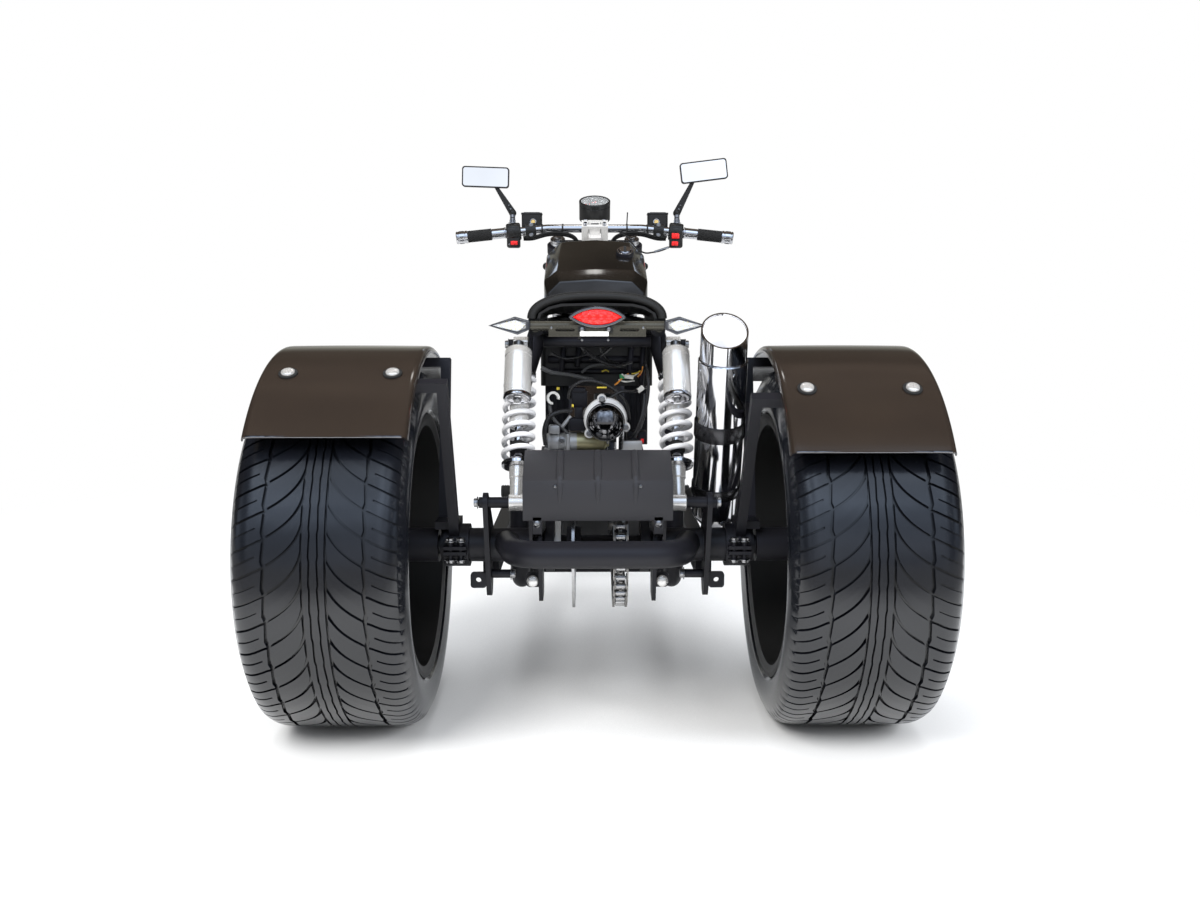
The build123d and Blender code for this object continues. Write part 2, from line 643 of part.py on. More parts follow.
def shock_springs():
    """Coil springs on the dampers."""
    height = SPRING_HIGH - SPRING_LOW
    coil = Helix(pitch=height / SPRING_TURNS, height=height, radius=SPRING_R)
    wire = sweep(Plane(origin=coil @ 0, z_dir=coil % 0) * RegularPolygon(SPRING_WIRE_R, 6), coil)
    plane = Plane(origin=shock_place(1, SPRING_LOW), x_dir=(1, 0, 0),
                  z_dir=shock_place(1, 10) - shock_place(1, 0))
    save("shock_springs", both(plane * wire))


def rear_bumper_bar():
    """Bent bar behind the chain, its ends coped to the axle housing."""
    end_x = 171.0
    bar = tube([at(-end_x, 0, 335), at(-140, -185, 353), at(140, -185, 353), at(end_x, 0, 335)], 23.5, 62)
    bar -= rod(at(-CLAMP_X, 0, REAR_AXLE_Z), at(CLAMP_X, 0, REAR_AXLE_Z), HOUSING_R + FIT)
    behind = block((-300, 300), (-300, -HOUSING_R / 2), (200, 500))
    save("rear_bumper_bar", bar & behind)


def over_wheel(x, radius, angle):
    """Point over a rear wheel; the angle rises from the rear horizontal."""
    turn = math.radians(angle)
    return at(x, -radius * math.cos(turn), REAR_AXLE_Z + radius * math.sin(turn))


def fender_brackets():
    """Square tubes from the axle clamps to the undersides of the fenders."""
    sides = []
    arm_r = BRACKET_ARM_R
    saddle_z = REAR_AXLE_Z + CLAMP_R
    for side, rear_angle in FENDER_ARMS:
        out_x = side * (FENDER_BOLTS[1] + 15)
        pieces = []
        for arm_x, angle, foot_y in ((REAR_ARM_X, rear_angle, -22.0), (FRONT_ARM_X, FRONT_ARM_ANGLE, 18.0)):
            x = side * arm_x
            pieces.append(square_tube([at(x, foot_y, REAR_AXLE_Z + 20), over_wheel(x, arm_r, angle),
                                       over_wheel(out_x, arm_r, angle)], BRACKET_W))
            for bolt_x in FENDER_BOLTS:
                pieces.append(rod(over_wheel(side * bolt_x, arm_r, angle),
                                  over_wheel(side * bolt_x, FENDER_R - FENDER_T - 1.0, angle), 9))
        across = sorted((side * (REAR_ARM_X - BRACKET_W / 2), side * (FRONT_ARM_X + BRACKET_W / 2)))
        saddle = block(across, (-34, 30), (saddle_z - 4, saddle_z + 10))
        brace = square_tube([at(side * REAR_ARM_X, -120, 545), at(side * FRONT_ARM_X, 70, 585)], 12)
        body = fuse(*pieces, saddle, brace)
        body -= rod(at(side * 230, 0, REAR_AXLE_Z), at(side * 300, 0, REAR_AXLE_Z), CLAMP_R + FIT)
        body -= block((-300, 300), (-70, 70), (REAR_AXLE_Z - 60, REAR_AXLE_Z + 17 + FIT))
        sides.append(body)
    save("fender_brackets", sides)


def rear_fenders():
    """Curved sheet fenders over the rear tyres."""
    half = (FENDER_OUT_X - FENDER_IN_X) / 2
    low = FENDER_R - FENDER_T
    profile = [(-half, FENDER_R - FENDER_DROP), (-half + 5, FENDER_R - 5), (-half + 14, FENDER_R),
               (half - 14, FENDER_R), (half - 5, FENDER_R - 5), (half, FENDER_R - FENDER_DROP),
               (half - FENDER_T, low - FENDER_DROP + 4), (half - 14, low),
               (-half + 14, low), (-half + FENDER_T, low - FENDER_DROP + 4)]
    middle = (FENDER_OUT_X + FENDER_IN_X) / 2
    sheets = []
    for side, rear_angle in FENDER_EDGES:
        sweep_angle = FENDER_FRONT_ANGLE - rear_angle
        sheets.append(spun(profile, side * middle, 0, REAR_AXLE_Z, start=180 - rear_angle - sweep_angle,
                           arc=sweep_angle))
    save("rear_fenders", sheets)


def mud_guard_plate():
    """Folded sheet with three pressed ribs in front of the chain."""
    rise = [(-140, 403), (-140, 474), (-58, 517)]
    sheet = side_outline(rise + [(-58, 513.5), (-136, 471), (-136, 403)], -131, 131)
    ribs = [side_outline([(-140, 455), (-145, 474), (-60, 520.5), (-60, 514), (-138, 473)], x - 5, x + 5)
            for x in (-66, 0, 66)]
    legs = [block((x - 8, x + 8), (-140, -136), (376, 410)) for x in (-106, 106)]
    feet = [block((x - 8, x + 8), (-140, -24), (376, 380)) for x in (-106, 106)]
    ties = [block((x - 8, x + 8), (-28, -24), (REAR_AXLE_Z + 28, 380)) for x in (-106, 106)]
    body = fuse(sheet, *ribs, *legs, *feet, *ties)
    body -= rod(at(-CLAMP_X, 0, REAR_AXLE_Z), at(CLAMP_X, 0, REAR_AXLE_Z), HOUSING_R + 12 + FIT)
    save("mud_guard_plate", body)


def engine_crankcase():
    """Closed engine block with the belt case on its left and the fan housing on its right."""
    outline = [(142, 262), (142, CRANKCASE_TOP), (430, CRANKCASE_TOP), (452, 400), (452, 340), (400, 240),
               (180, 240)]
    case = side_outline(outline, CRANKCASE_LEFT, CRANKCASE_RIGHT, 14)
    belt = side_sheet([(235, 335, 78), (520, 385, 62)], CRANKCASE_LEFT - 28, 56)
    belt_rib = side_sheet([(235, 335, 60), (520, 385, 46)], CRANKCASE_LEFT - 58, 8)
    fan = rod(at(CRANKCASE_RIGHT, 362, 352), at(106, 362, 352), 92)
    fan_rim = rod(at(96, 362, 352), at(112, 362, 352), 70)
    mount = block((-60, 12), (320, 340), (RAIL_Z + 14 + FIT, 245))
    save("engine_crankcase", fuse(case, belt, belt_rib, fan, fan_rim, mount))


def engine_cylinder():
    """Finned cylinder and head, lying forwards."""
    core = rod(at(-20, 452 + FIT, 402), at(-20, 612, 402), 40)
    head = block((-68, 28), (560, 622), (352, 452))
    head = fillet(head.edges().filter_by(Axis.Y), 16)
    fins = [block((-68, 28), (y, y + 4), (350, 454)) for y in range(470, 556, 14)]
    fins = [fillet(fin.edges().filter_by(Axis.Y), 14) for fin in fins]
    save("engine_cylinder", fuse(core, head, *fins))


def starter_motor():
    """Small electric motor lying across the top of the engine."""
    z = CRANKCASE_TOP + FIT + STARTER_R
    body = rod(at(-100, STARTER_Y, z), at(14, STARTER_Y, z), STARTER_R)
    nose = rod(at(14, STARTER_Y, z), at(24, STARTER_Y, z), STARTER_R - 6)
    save("starter_motor", fuse(body, nose))


def intake_cap():
    """Domed cap on its three-eared flange, with the duct to the carburettor."""
    x = INTAKE_X
    z = INTAKE_Z
    ears = [rod(at(x + 40 * math.cos(a), INTAKE_Y, z + 40 * math.sin(a)),
                at(x + 40 * math.cos(a), INTAKE_Y + 10, z + 40 * math.sin(a)), 7)
            for a in (math.radians(d) for d in (100, 220, 340))]
    flange = rod(at(x, INTAKE_Y, z), at(x, INTAKE_Y + 12, z), INTAKE_R)
    dome = Pos(*at(x, INTAKE_Y, z)) * scale(Sphere(INTAKE_R - 5), (1, 0.72, 1))
    dome &= block((x - 50, x + 50), (INTAKE_Y - 40, INTAKE_Y + 1), (z - 50, z + 50))
    duct = rod(at(x, INTAKE_Y + 12, z), at(x, 300, z), DUCT_R)
    save("intake_cap", fuse(dome, flange, *ears, duct))


def carburettor():
    """Carburettor and manifold between the duct and the cylinder head."""
    x = INTAKE_X
    z = INTAKE_Z
    throat = rod(at(x, 300 + FIT, z), at(x, 372, z), DUCT_R - 1)
    bowl = block((x - 26, x + 26), (308, 362), (CRANKCASE_TOP + FIT, z))
    cap = rod(at(x, 336, z), at(x, 336, z + 36), 22)
    manifold = tube([at(x, 366, z), at(x, 450, z), at(-20, 590, z - 30), at(-20, 590, 452 + FIT)], 14, 30)
    save("carburettor", fuse(throat, bowl, cap, manifold))


def electrics_box():
    """Box for the battery and wiring, hung between the seat rails."""
    top = SEAT_RAIL_Z - SEAT_RAIL_R - FIT
    box = block((-SEAT_RAIL_X, SEAT_RAIL_X), (235, 425), (610, top))
    box = fillet(box.edges().filter_by(Axis.Z), 12)
    save("electrics_box", box)


def exhaust_pipe():
    """Bent pipe from the cylinder head to the muffler."""
    pipe = tube([at(-24, 590, 352 - FIT), at(-24, 590, 300), at(150, 600, 285),
                 at(MUFFLER_X + 12, 560, 330), at(MUFFLER_X + 12, 440, 388), at(MUFFLER_X + 6, 130, 392)], 17, 40)
    low = at(MUFFLER_X, *MUFFLER_LOW)
    pipe -= rod(low, low + muffler_axis() * MUFFLER_L, MUFFLER_R + FIT)
    save("exhaust_pipe", pipe.solids().sort_by(Axis.Y)[-1])


def muffler_axis():
    """Direction up the leaning muffler."""
    lean = math.radians(MUFFLER_LEAN)
    return Vector(0, -math.sin(lean), math.cos(lean))


def muffler():
    """Leaning can with two straps, a slash-cut open tip and its bracket."""
    axis = muffler_axis()
    low = at(MUFFLER_X, *MUFFLER_LOW)
    top = low + axis * MUFFLER_L
    can = rod(low, top, MUFFLER_R)
    shoulder = rod(top, top + axis * 12, MUFFLER_R - 5)
    tip = rod(top, top + axis * 96, MUFFLER_R - 3)
    slash = Plane(origin=top + axis * 62, z_dir=(0, -0.75, 1))
    tip = split(tip, slash, keep=Keep.BOTTOM)
    tip -= rod(top + axis * 14, top + axis * 110, MUFFLER_R - 6)
    straps = [rod(low + axis * s, low + axis * (s + 20), MUFFLER_R + 2) for s in (70, 190)]
    reach = low + axis * 60
    bracket = rod(reach, Vector(reach.X - 10, reach.Y + 56, PIVOT_Z), 8)
    bracket -= block((0, 400), (-100, 400), (0, PIVOT_Z + ARM_H / 2 + FIT))
    save("muffler", fuse(can, shoulder, tip, *straps, bracket))


def arch(half, top, low, y, band=0.0):
    """Arched section across the seat; a band moves it inwards."""
    half = half - band
    top = top - band
    rise = top - low
    right = [(half * 0.6, top - rise * 0.06), (half * 0.8, top - rise * 0.25),
             (half - 3, low + rise * 0.35), (half, low)]
    points = [(-x, z) for x, z in reversed(right)] + [(0, top)] + right
    plane = Plane(origin=at(0, y, 0), x_dir=(1, 0, 0), z_dir=(0, -1, 0))
    return plane * make_face(Polyline(*points, close=True))


def seat_shell(band, low, clearance=0.0):
    """Solid under the seat's arch, set in by a band."""
    sections = [arch(SEAT_HALF, top - clearance, low, y, band + clearance) for y, top in SEAT_LINE]
    return loft(sections, ruled=True)


def seat_cushion():
    """Arched cushion, open below."""
    body = seat_shell(0.0, SEAT_LOW) - seat_shell(SEAT_BAND, SEAT_LOW)
    save("seat_cushion", body)


def seat_pan():
    """Shell under the cushion with feet on the seat rails."""
    pan = seat_shell(SEAT_BAND, SEAT_LOW, FIT) - seat_shell(SEAT_BAND + 5, SEAT_LOW, FIT)
    foot_z = SEAT_RAIL_Z + SEAT_RAIL_R + FIT
    foot_x = SEAT_HALF - 14
    tie_x = SEAT_HALF - SEAT_BAND - FIT - 2.4
    feet = [block((s * foot_x - 11.5, s * foot_x + 11.5), (SEAT_REAR + 20, SEAT_FRONT - 40),
                  (foot_z, SEAT_LOW - FIT)) for s in (-1, 1)]
    ties = [block((s * tie_x - 2, s * tie_x + 2), (SEAT_REAR + 20, SEAT_FRONT - 40),
                  (foot_z, SEAT_LOW + 1.5)) for s in (-1, 1)]
    save("seat_pan", fuse(pan, *feet, *ties))


def tank_section(share, half, low, side_top, inset, top):
    """Faceted section across the tank, at a share of its length."""
    y = TANK_REAR + share * (WHEELBASE - TANK_FRONT_GAP - TANK_REAR)
    points = [(-half + 18, low), (-half, low + 26), (-half, side_top), (-half + inset, top - 5), (0, top),
              (half - inset, top - 5), (half, side_top), (half, low + 26), (half - 18, low)]
    plane = Plane(origin=at(0, y, 0), x_dir=(1, 0, 0), z_dir=(0, -1, 0))
    return plane * make_face(Polyline(*points, close=True))


def tank_body():
    """Tank without its fittings, with the tunnel for the top tubes."""
    body = loft([tank_section(*row) for row in TANK_LINE], ruled=True)
    front = WHEELBASE - TANK_FRONT_GAP
    tunnel = [(TANK_REAR - 16, 700), (TANK_REAR - 16, 766), (SEAT_FRONT + 130, 766), (front - 80, 796),
              (front + 25, 846), (front + 25, 700)]
    wide = TOP_TUBE_X + SEAT_RAIL_R + 6
    return body - side_outline(tunnel, -wide, wide) - side_outline(
        [(TANK_REAR - 16, 700), (TANK_REAR - 16, 750 + SEAT_RAIL_R), (TANK_REAR + 74, 750 + SEAT_RAIL_R),
         (TANK_REAR + 114, 700)], -150, 150)


def fuel_tank():
    """Faceted tank over the top tubes, held on their bracket."""
    feet = [block((s * TOP_TUBE_X - 8, s * TOP_TUBE_X + 8), (700, 740), (775, 790)) for s in (-1, 1)]
    path = seat_rail(SEAT_RAIL_R + FIT)
    body = fuse(tank_body(), *feet) - path - mirrored(path)
    body = fuse(*[s for s in body.solids() if s.volume > 1000])
    save("fuel_tank", body)


def tank_top(y):
    """Height of the tank's crown at a distance from the rear axle."""
    share = (y - TANK_REAR) / (WHEELBASE - TANK_FRONT_GAP - TANK_REAR)
    for low, high in zip(TANK_LINE, TANK_LINE[1:]):
        if share <= high[0]:
            part = (share - low[0]) / (high[0] - low[0])
            return low[-1] + part * (high[-1] - low[-1])
    return TANK_LINE[-1][-1]


def key_lock():
    """Round ignition lock on the tank's right shoulder."""
    foot = at(KEY_X, KEY_Y, tank_top(KEY_Y) - 4)
    axis = Vector(0, -0.62, 1).normalized()
    collar = rod(foot - axis * 14, foot + axis * 12, KEY_R)
    face = rod(foot + axis * 12, foot + axis * 16, KEY_R - 6)
    save("key_lock", fuse(collar, face) - tank_body())


def tail_lamp():
    """Pointed oval lamp: a bright housing and its red lens."""
    middle = at(0, 0, TAIL_Z)
    outline = cat_eye(TAIL_HALF, TAIL_RISE)
    inner = (TAIL_HALF - TAIL_RIM_X, TAIL_RISE - TAIL_RIM_Z)
    plane = Plane(origin=middle + Vector(0, 19.7, 0), x_dir=(1, 0, 0), z_dir=(0, -1, 0))
    shell = extrude(plane * outline, amount=26)
    shell -= extrude(plane.offset(17) * cat_eye(inner[0] + FIT, inner[1] + FIT), amount=12)
    lens = extrude(plane.offset(17 + FIT) * cat_eye(*inner), amount=13)
    save("tail_lamp_housing", shell)
    save("tail_lamp_lens", lens)


def cat_eye(half, rise):
    """Two arcs that meet at a point on each side."""
    upper = ThreePointArc((-half, 0), (0, rise), (half, 0))
    lower = ThreePointArc((half, 0), (0, -rise), (-half, 0))
    return make_face(Curve() + [upper, lower])


def plate_bracket():
    """Cross bar with the slotted number plate holder and the lamp's tongue."""
    bar = rod(at(-BAR_END_X, SIGNAL_Y, SIGNAL_Z), at(BAR_END_X, SIGNAL_Y, SIGNAL_Z), 9)
    holder = block((-PLATE_W / 2, PLATE_W / 2), (PLATE_Y - PLATE_T, PLATE_Y), (718, 743 - 4))
    lip = block((-PLATE_W / 2, PLATE_W / 2), (PLATE_Y - 8, PLATE_Y), (718, 721))
    webs = [block((s * 30 - 3, s * 30 + 3), (PLATE_Y - 1, SIGNAL_Y), (722, 738)) for s in (-1, 1)]
    tongue = block((-26, 26), (20, 24), (SIGNAL_Z, TAIL_Z + 12))
    arms = [rod(at(s * SEAT_RAIL_X, SIGNAL_Y, SEAT_RAIL_Z + 3),
                at(s * SEAT_RAIL_X, SEAT_RAIL_END_Y - FIT, SEAT_RAIL_Z + 3), 8) for s in (-1, 1)]
    body = fuse(bar, holder, lip, *webs, tongue, *arms)
    for side in (-1, 1):
        plane = Plane(origin=at(side * SLOT_X, PLATE_Y + 1, PLATE_Z), x_dir=(1, 0, 0), z_dir=(0, -1, 0))
        body -= extrude(plane * SlotOverall(SLOT_L, SLOT_W), amount=PLATE_T + 2)
    lamp = Plane(origin=at(0, 20 - FIT / 2, TAIL_Z), x_dir=(1, 0, 0), z_dir=(0, -1, 0))
    body -= extrude(lamp * cat_eye(TAIL_HALF + FIT, TAIL_RISE + FIT), amount=40)
    save("plate_bracket", body)


def turn_signals():
    """Kite-shaped lamps on the ends of the cross bar."""
    inner = BAR_END_X + FIT
    kite = [(inner, 746), (inner + 28, 754), (inner + SIGNAL_L, 738), (inner + 22, 721), (inner, 731)]
    lens_kite = [(inner + 8, 740), (inner + 28, 749.5), (inner + SIGNAL_L - 9, 738), (inner + 22, 726)]
    plane = Plane(origin=at(0, SIGNAL_Y + 11, 0), x_dir=(1, 0, 0), z_dir=(0, -1, 0))
    frame_face = fillet(make_face(Polyline(*kite, close=True)).vertices(), 2)
    frame_body = extrude(plane * frame_face, amount=24)
    frame_body -= extrude(plane.offset(18) * make_face(Polyline(*lens_kite, close=True)), amount=8)
    lens_face = offset(make_face(Polyline(*lens_kite, close=True)), -FIT)
    lens = extrude(plane.offset(18 + FIT) * lens_face, amount=7)
    save("turn_signal_frames", both(frame_body))
    save("turn_signal_lenses", both(lens))


def foot_pegs():
    """Pegs outboard of the lower rails."""
    y = RAIL_FRONT_Y - 50
    z = RAIL_Z + 70
    foot = rod(at(RAIL_X + 12, y, z - 30), at(RAIL_X + 12, y, RAIL_Z + RAIL_R - 2), 9)
    post = rod(at(RAIL_X + 12, y, z), at(RAIL_X + 12, y, z - 34), 9)
    peg = rod(at(RAIL_X + 4, y, z), at(RAIL_X + 96, y, z), 15)
    body = fuse(foot, post, peg)
    body -= rod(at(RAIL_X, RAIL_REAR_Y, RAIL_Z), at(RAIL_X, RAIL_FRONT_Y + 60, RAIL_Z), RAIL_R + FIT)
    save("foot_pegs", both(body))


def rear_brake_caliper():
    """Caliper over the disc on a bracket at the left bearing carrier."""
    gap = DISC_T / 2 + 3
    body = block((DISC_X - 24, DISC_X + 22), (60, 112), (REAR_AXLE_Z + 44, REAR_AXLE_Z + 112))
    body = fillet(body.edges().filter_by(Axis.X), 10)
    body -= rod(at(DISC_X - gap, 0, REAR_AXLE_Z), at(DISC_X + gap, 0, REAR_AXLE_Z), DISC_R + 4)
    bracket = side_sheet([(0, REAR_AXLE_Z, 44), (86, REAR_AXLE_Z + 78, 24)],
                         -CARRIER_X + FIT + 6, 12)
    bracket -= rod(at(DISC_X - 40, 0, REAR_AXLE_Z), at(DISC_X, 0, REAR_AXLE_Z), SHAFT_R + 6)
    save("rear_brake_caliper", fuse(body, bracket))


def yoke(up_low, thick):
    """Clamp across both fork tubes and the steering stem."""
    ring = Sketch() + [Pos(0, 0) * Circle(HEAD_R + 3)]
    ring += [Pos(s * FORK_X, FORK_OFFSET) * Circle(FORK_TUBE_R + 9) for s in (-1, 1)]
    body = extrude(steer_plane(steer(0, 0, up_low)) * make_hull(ring.edges()), amount=thick)
    for side in (-1, 1):
        body -= rod(steer(side * FORK_X, FORK_OFFSET, up_low - 1),
                    steer(side * FORK_X, FORK_OFFSET, up_low + thick + 1), FORK_TUBE_R + RUN_FIT)
    return body


def low_yoke_bottom():
    """Place of the lower yoke's underside along the steering axis."""
    return -TOP_YOKE_T / 2 - 2 * YOKE_GAP - HEAD_L - LOW_YOKE_T


def fork_yokes():
    """Upper and lower yoke on the steering stem."""
    low = low_yoke_bottom()
    stem = rod(steer(0, 0, low + 2), steer(0, 0, TOP_YOKE_T / 2 + 6), STEM_R)
    nut = rod(steer(0, 0, TOP_YOKE_T / 2 - 1), steer(0, 0, TOP_YOKE_T / 2 + 10), 17)
    save("fork_yokes", fuse(yoke(-TOP_YOKE_T / 2, TOP_YOKE_T), yoke(low, LOW_YOKE_T), stem, nut))


def fork_legs():
    """Telescopic legs with the front axle and the brake caliper."""
    legs = []
    for side in (-1, 1):
        x = side * FORK_X
        top = TOP_YOKE_T / 2 + 10
        legs.append(rod(steer(x, FORK_OFFSET, SLIDER_TOP - FORK_LENGTH), steer(x, FORK_OFFSET, top),
                        FORK_TUBE_R))
        legs.append(rod(steer(x, FORK_OFFSET, -FORK_LENGTH - 18),
                        steer(x, FORK_OFFSET, SLIDER_TOP - FORK_LENGTH), SLIDER_R))
    axle = rod(at(-FORK_X - 30, WHEELBASE, FRONT_AXLE_Z), at(FORK_X + 30, WHEELBASE, FRONT_AXLE_Z),
               FRONT_AXLE_R)
    caliper = block((-FORK_X - 4, -54), (WHEELBASE - 150, WHEELBASE - 92),
                    (FRONT_AXLE_Z + 30, FRONT_AXLE_Z + 104))
    caliper = fillet(caliper.edges().filter_by(Axis.X), 10)
    caliper -= rod(at(FRONT_DISC_X - 8, WHEELBASE, FRONT_AXLE_Z), at(FRONT_DISC_X + 8, WHEELBASE, FRONT_AXLE_Z),
                   FRONT_DISC_R + 6)
    hanger = block((-FORK_X - 4, -FORK_X + 6), (WHEELBASE - 110, WHEELBASE - 30),
                   (FRONT_AXLE_Z + 60, FRONT_AXLE_Z + 90))
    save("fork_legs", fuse(*legs, axle, caliper, hanger))


def front_tyre():
    """Front road tyre."""
    profile = tyre_profile(FRONT_TYRE_R, FRONT_TYRE_W, FRONT_SEAT_R, FRONT_RIM_W)
    save("front_tyre", spun(profile, 0, WHEELBASE, FRONT_AXLE_Z))


def front_rim():
    """Spoked rim with its hub and brake disc."""
    barrel = spun(rim_profile(FRONT_SEAT_R, FRONT_RIM_W), 0, WHEELBASE, FRONT_AXLE_Z)
    face = Pos(0, WHEELBASE, FRONT_AXLE_Z) * wheel_face(FRONT_SEAT_R, 0, 0, 22, 40, FRONT_AXLE_R + RUN_FIT)
    hub = rod(at(-60, WHEELBASE, FRONT_AXLE_Z), at(60, WHEELBASE, FRONT_AXLE_Z), 28)
    disc = rod(at(FRONT_DISC_X - FRONT_DISC_T / 2, WHEELBASE, FRONT_AXLE_Z),
               at(FRONT_DISC_X + FRONT_DISC_T / 2, WHEELBASE, FRONT_AXLE_Z), FRONT_DISC_R)
    disc -= rod(at(-90, WHEELBASE, FRONT_AXLE_Z), at(-40, WHEELBASE, FRONT_AXLE_Z), 72)
    carrier = rod(at(FRONT_DISC_X - 2, WHEELBASE, FRONT_AXLE_Z), at(-56, WHEELBASE, FRONT_AXLE_Z), 76)
    carrier -= rod(at(-90, WHEELBASE, FRONT_AXLE_Z), at(-40, WHEELBASE, FRONT_AXLE_Z), 20)
    body = fuse(barrel, face, hub, disc, carrier)
    body -= rod(at(-90, WHEELBASE, FRONT_AXLE_Z), at(90, WHEELBASE, FRONT_AXLE_Z), FRONT_AXLE_R + RUN_FIT)
    save("front_rim", body)


def front_fender():
    """Narrow fender between the fork legs."""
    half = FORK_X - SLIDER_R - FIT - 2.5
    outer = FRONT_TYRE_R + 20
    profile = [(-half, outer - 30), (-half + 2, outer - 12), (-half + 14, outer - 2), (0, outer),
               (half - 14, outer - 2), (half - 2, outer - 12), (half, outer - 30),
               (half - 3, outer - 30), (half - 5, outer - 13), (half - 16, outer - 5), (0, outer - 3),
               (-half + 16, outer - 5), (-half + 5, outer - 13), (-half + 3, outer - 30)]
    sheet = spun(profile, 0, WHEELBASE, FRONT_AXLE_Z, start=42, arc=122)
    bosses = [rod(steer(s * (half - 2), FORK_OFFSET, outer - 16 - FORK_LENGTH),
                  steer(s * (FORK_X - SLIDER_R - FIT), FORK_OFFSET, outer - 16 - FORK_LENGTH), 8)
              for s in (-1, 1)]
    save("front_fender", fuse(sheet, *bosses))


def riser_clamp():
    """Bright clamp that holds the handlebar over the top yoke."""
    foot = steer_plane(steer(0, BAR_AHEAD, TOP_YOKE_T / 2 + 10 + FIT))
    column = extrude(foot * Rectangle(72, 38), amount=BAR_RISE - TOP_YOKE_T / 2 + 8)
    column = fillet(column.edges().filter_by(Axis.X), 5)
    tongue = extrude(foot.offset(8) * (Pos(0, -26) * Rectangle(34, 24)), amount=30)
    legs = rod(steer(0, BAR_AHEAD, TOP_YOKE_T / 2 + 10 + FIT), steer(0, BAR_AHEAD, BAR_RISE), 12)
    body = fuse(column, tongue, legs)
    body -= rod(steer(-60, BAR_AHEAD, BAR_RISE), steer(60, BAR_AHEAD, BAR_RISE), BAR_R + RUN_FIT)
    save("riser_clamp", body)


def bar_point(x):
    """Place on the handlebar's centre line at a distance to the side."""
    middle = steer(0, BAR_AHEAD, BAR_RISE)
    share = max(0.0, (abs(x) - BAR_STRAIGHT) / (BAR_HALF - BAR_STRAIGHT))
    return Vector(x, middle.Y - BAR_SWEEP * share, middle.Z - BAR_DROP * share)


def handlebar():
    """Nearly straight bar with a slight drop and sweep at its ends."""
    points = [bar_point(x) for x in (-BAR_HALF, -BAR_STRAIGHT, BAR_STRAIGHT, BAR_HALF)]
    save("handlebar", tube(points, BAR_R, 80))


def along_bar(x_low, x_high, radius, bore):
    """Sleeve on the sloping part of the handlebar."""
    return rod(bar_point(x_low), bar_point(x_high), radius, bore)


def hand_grips():
    """Sleeve, rubber and end cap on each side, one after the other."""
    sleeve, rubber, cap, end = GRIP_CUTS
    body = fuse(along_bar(sleeve, rubber, GRIP_R - 2, BAR_R + RUN_FIT),
                along_bar(rubber, cap, GRIP_R, BAR_R + RUN_FIT),
                along_bar(cap, BAR_HALF, GRIP_R + 1, BAR_R + RUN_FIT),
                along_bar(BAR_HALF, end, GRIP_R + 1, 0))
    body -= along_bar(sleeve - 5, BAR_HALF + FIT, BAR_R + RUN_FIT, 0)
    save("hand_grips", both(body))


def switch_housings():
    """Two-part switch boxes beside the grips."""
    body = along_bar(*SWITCH_CUTS, 24, 0)
    low = bar_point(sum(SWITCH_CUTS) / 2)
    drop = Pos(low.X, low.Y - 2, low.Z - 26) * Box(36, 30, 36)
    drop = fillet(drop.edges(), 6)
    body = fuse(body, drop)
    body -= along_bar(SWITCH_CUTS[0] - 10, SWITCH_CUTS[1] + 10, BAR_R + RUN_FIT, 0)
    save("switch_housings", both(body))


def brake_levers():
    """Brake cylinders with their clamps and levers."""
    low = bar_point(sum(LEVER_CUTS) / 2 - 2)
    clamp = along_bar(*LEVER_CUTS, 19, 0)
    pot = Pos(low.X, low.Y + 34, low.Z + 24) * Box(56, 34, 44)
    pot = fillet(pot.edges().filter_by(Axis.Z), 6)
    neck = Pos(low.X, low.Y + 16, low.Z + 8) * Box(22, 30, 20)
    pivot = Pos(low.X + 22, low.Y + 44, low.Z - 4) * Box(34, 24, 16)
    lever = tube([Vector(low.X + 24, low.Y + 48, low.Z - 4), Vector(low.X + 70, low.Y + 52, low.Z - 8),
                  Vector(low.X + 200, low.Y + 26, low.Z - 24)], 6, 30)
    body = fuse(clamp, pot, neck, pivot, lever)
    body -= along_bar(LEVER_CUTS[0] - 30, LEVER_CUTS[1] + 40, BAR_R + RUN_FIT, 0)
    save("brake_levers", both(body))


def mirrors():
    """Rectangular mirrors on tapered arms above the switch boxes."""
    frames = []
    glasses = []
    for side, x, z, tilt in MIRRORS:
        root = bar_point(side * MIRROR_STEM_X)
        y = root.Y + 4
        plane = Plane(origin=(side * x, y + 8, z), x_dir=(1, 0, 0), z_dir=(0, -1, 0))
        turn = Rot(0, 0, side * -tilt if side > 0 else tilt)
        head = extrude(plane * (turn * RectangleRounded(MIRROR_W, MIRROR_H, 8)), amount=14)
        head -= extrude(plane.offset(10) * (turn * RectangleRounded(MIRROR_W - 6, MIRROR_H - 6, 6)), amount=6)
        glass = extrude(plane.offset(10 + FIT) * (turn * RectangleRounded(
            MIRROR_W - 6 - 2 * FIT, MIRROR_H - 6 - 2 * FIT, 6)), amount=3)
        stem = rod(Vector(root.X, root.Y, root.Z + 25.2), Vector(root.X, root.Y, root.Z + 52), 7)
        ball = Pos(root.X, root.Y, root.Z + 52) * Sphere(9)
        arm = Sketch() + [Pos(root.X, root.Z + 52) * Circle(10),
                          Pos(side * (x - 28), z - MIRROR_H / 2 + 2) * Circle(5)]
        arm_plane = Plane(origin=(0, y + 6, 0), x_dir=(1, 0, 0), z_dir=(0, -1, 0))
        blade = extrude(arm_plane * make_hull(arm.edges()), amount=6)
        frames.append(fuse(head, stem, ball, blade))
        glasses.append(glass)
    save("mirror_frames", frames)
    save("mirror_glass", glasses)


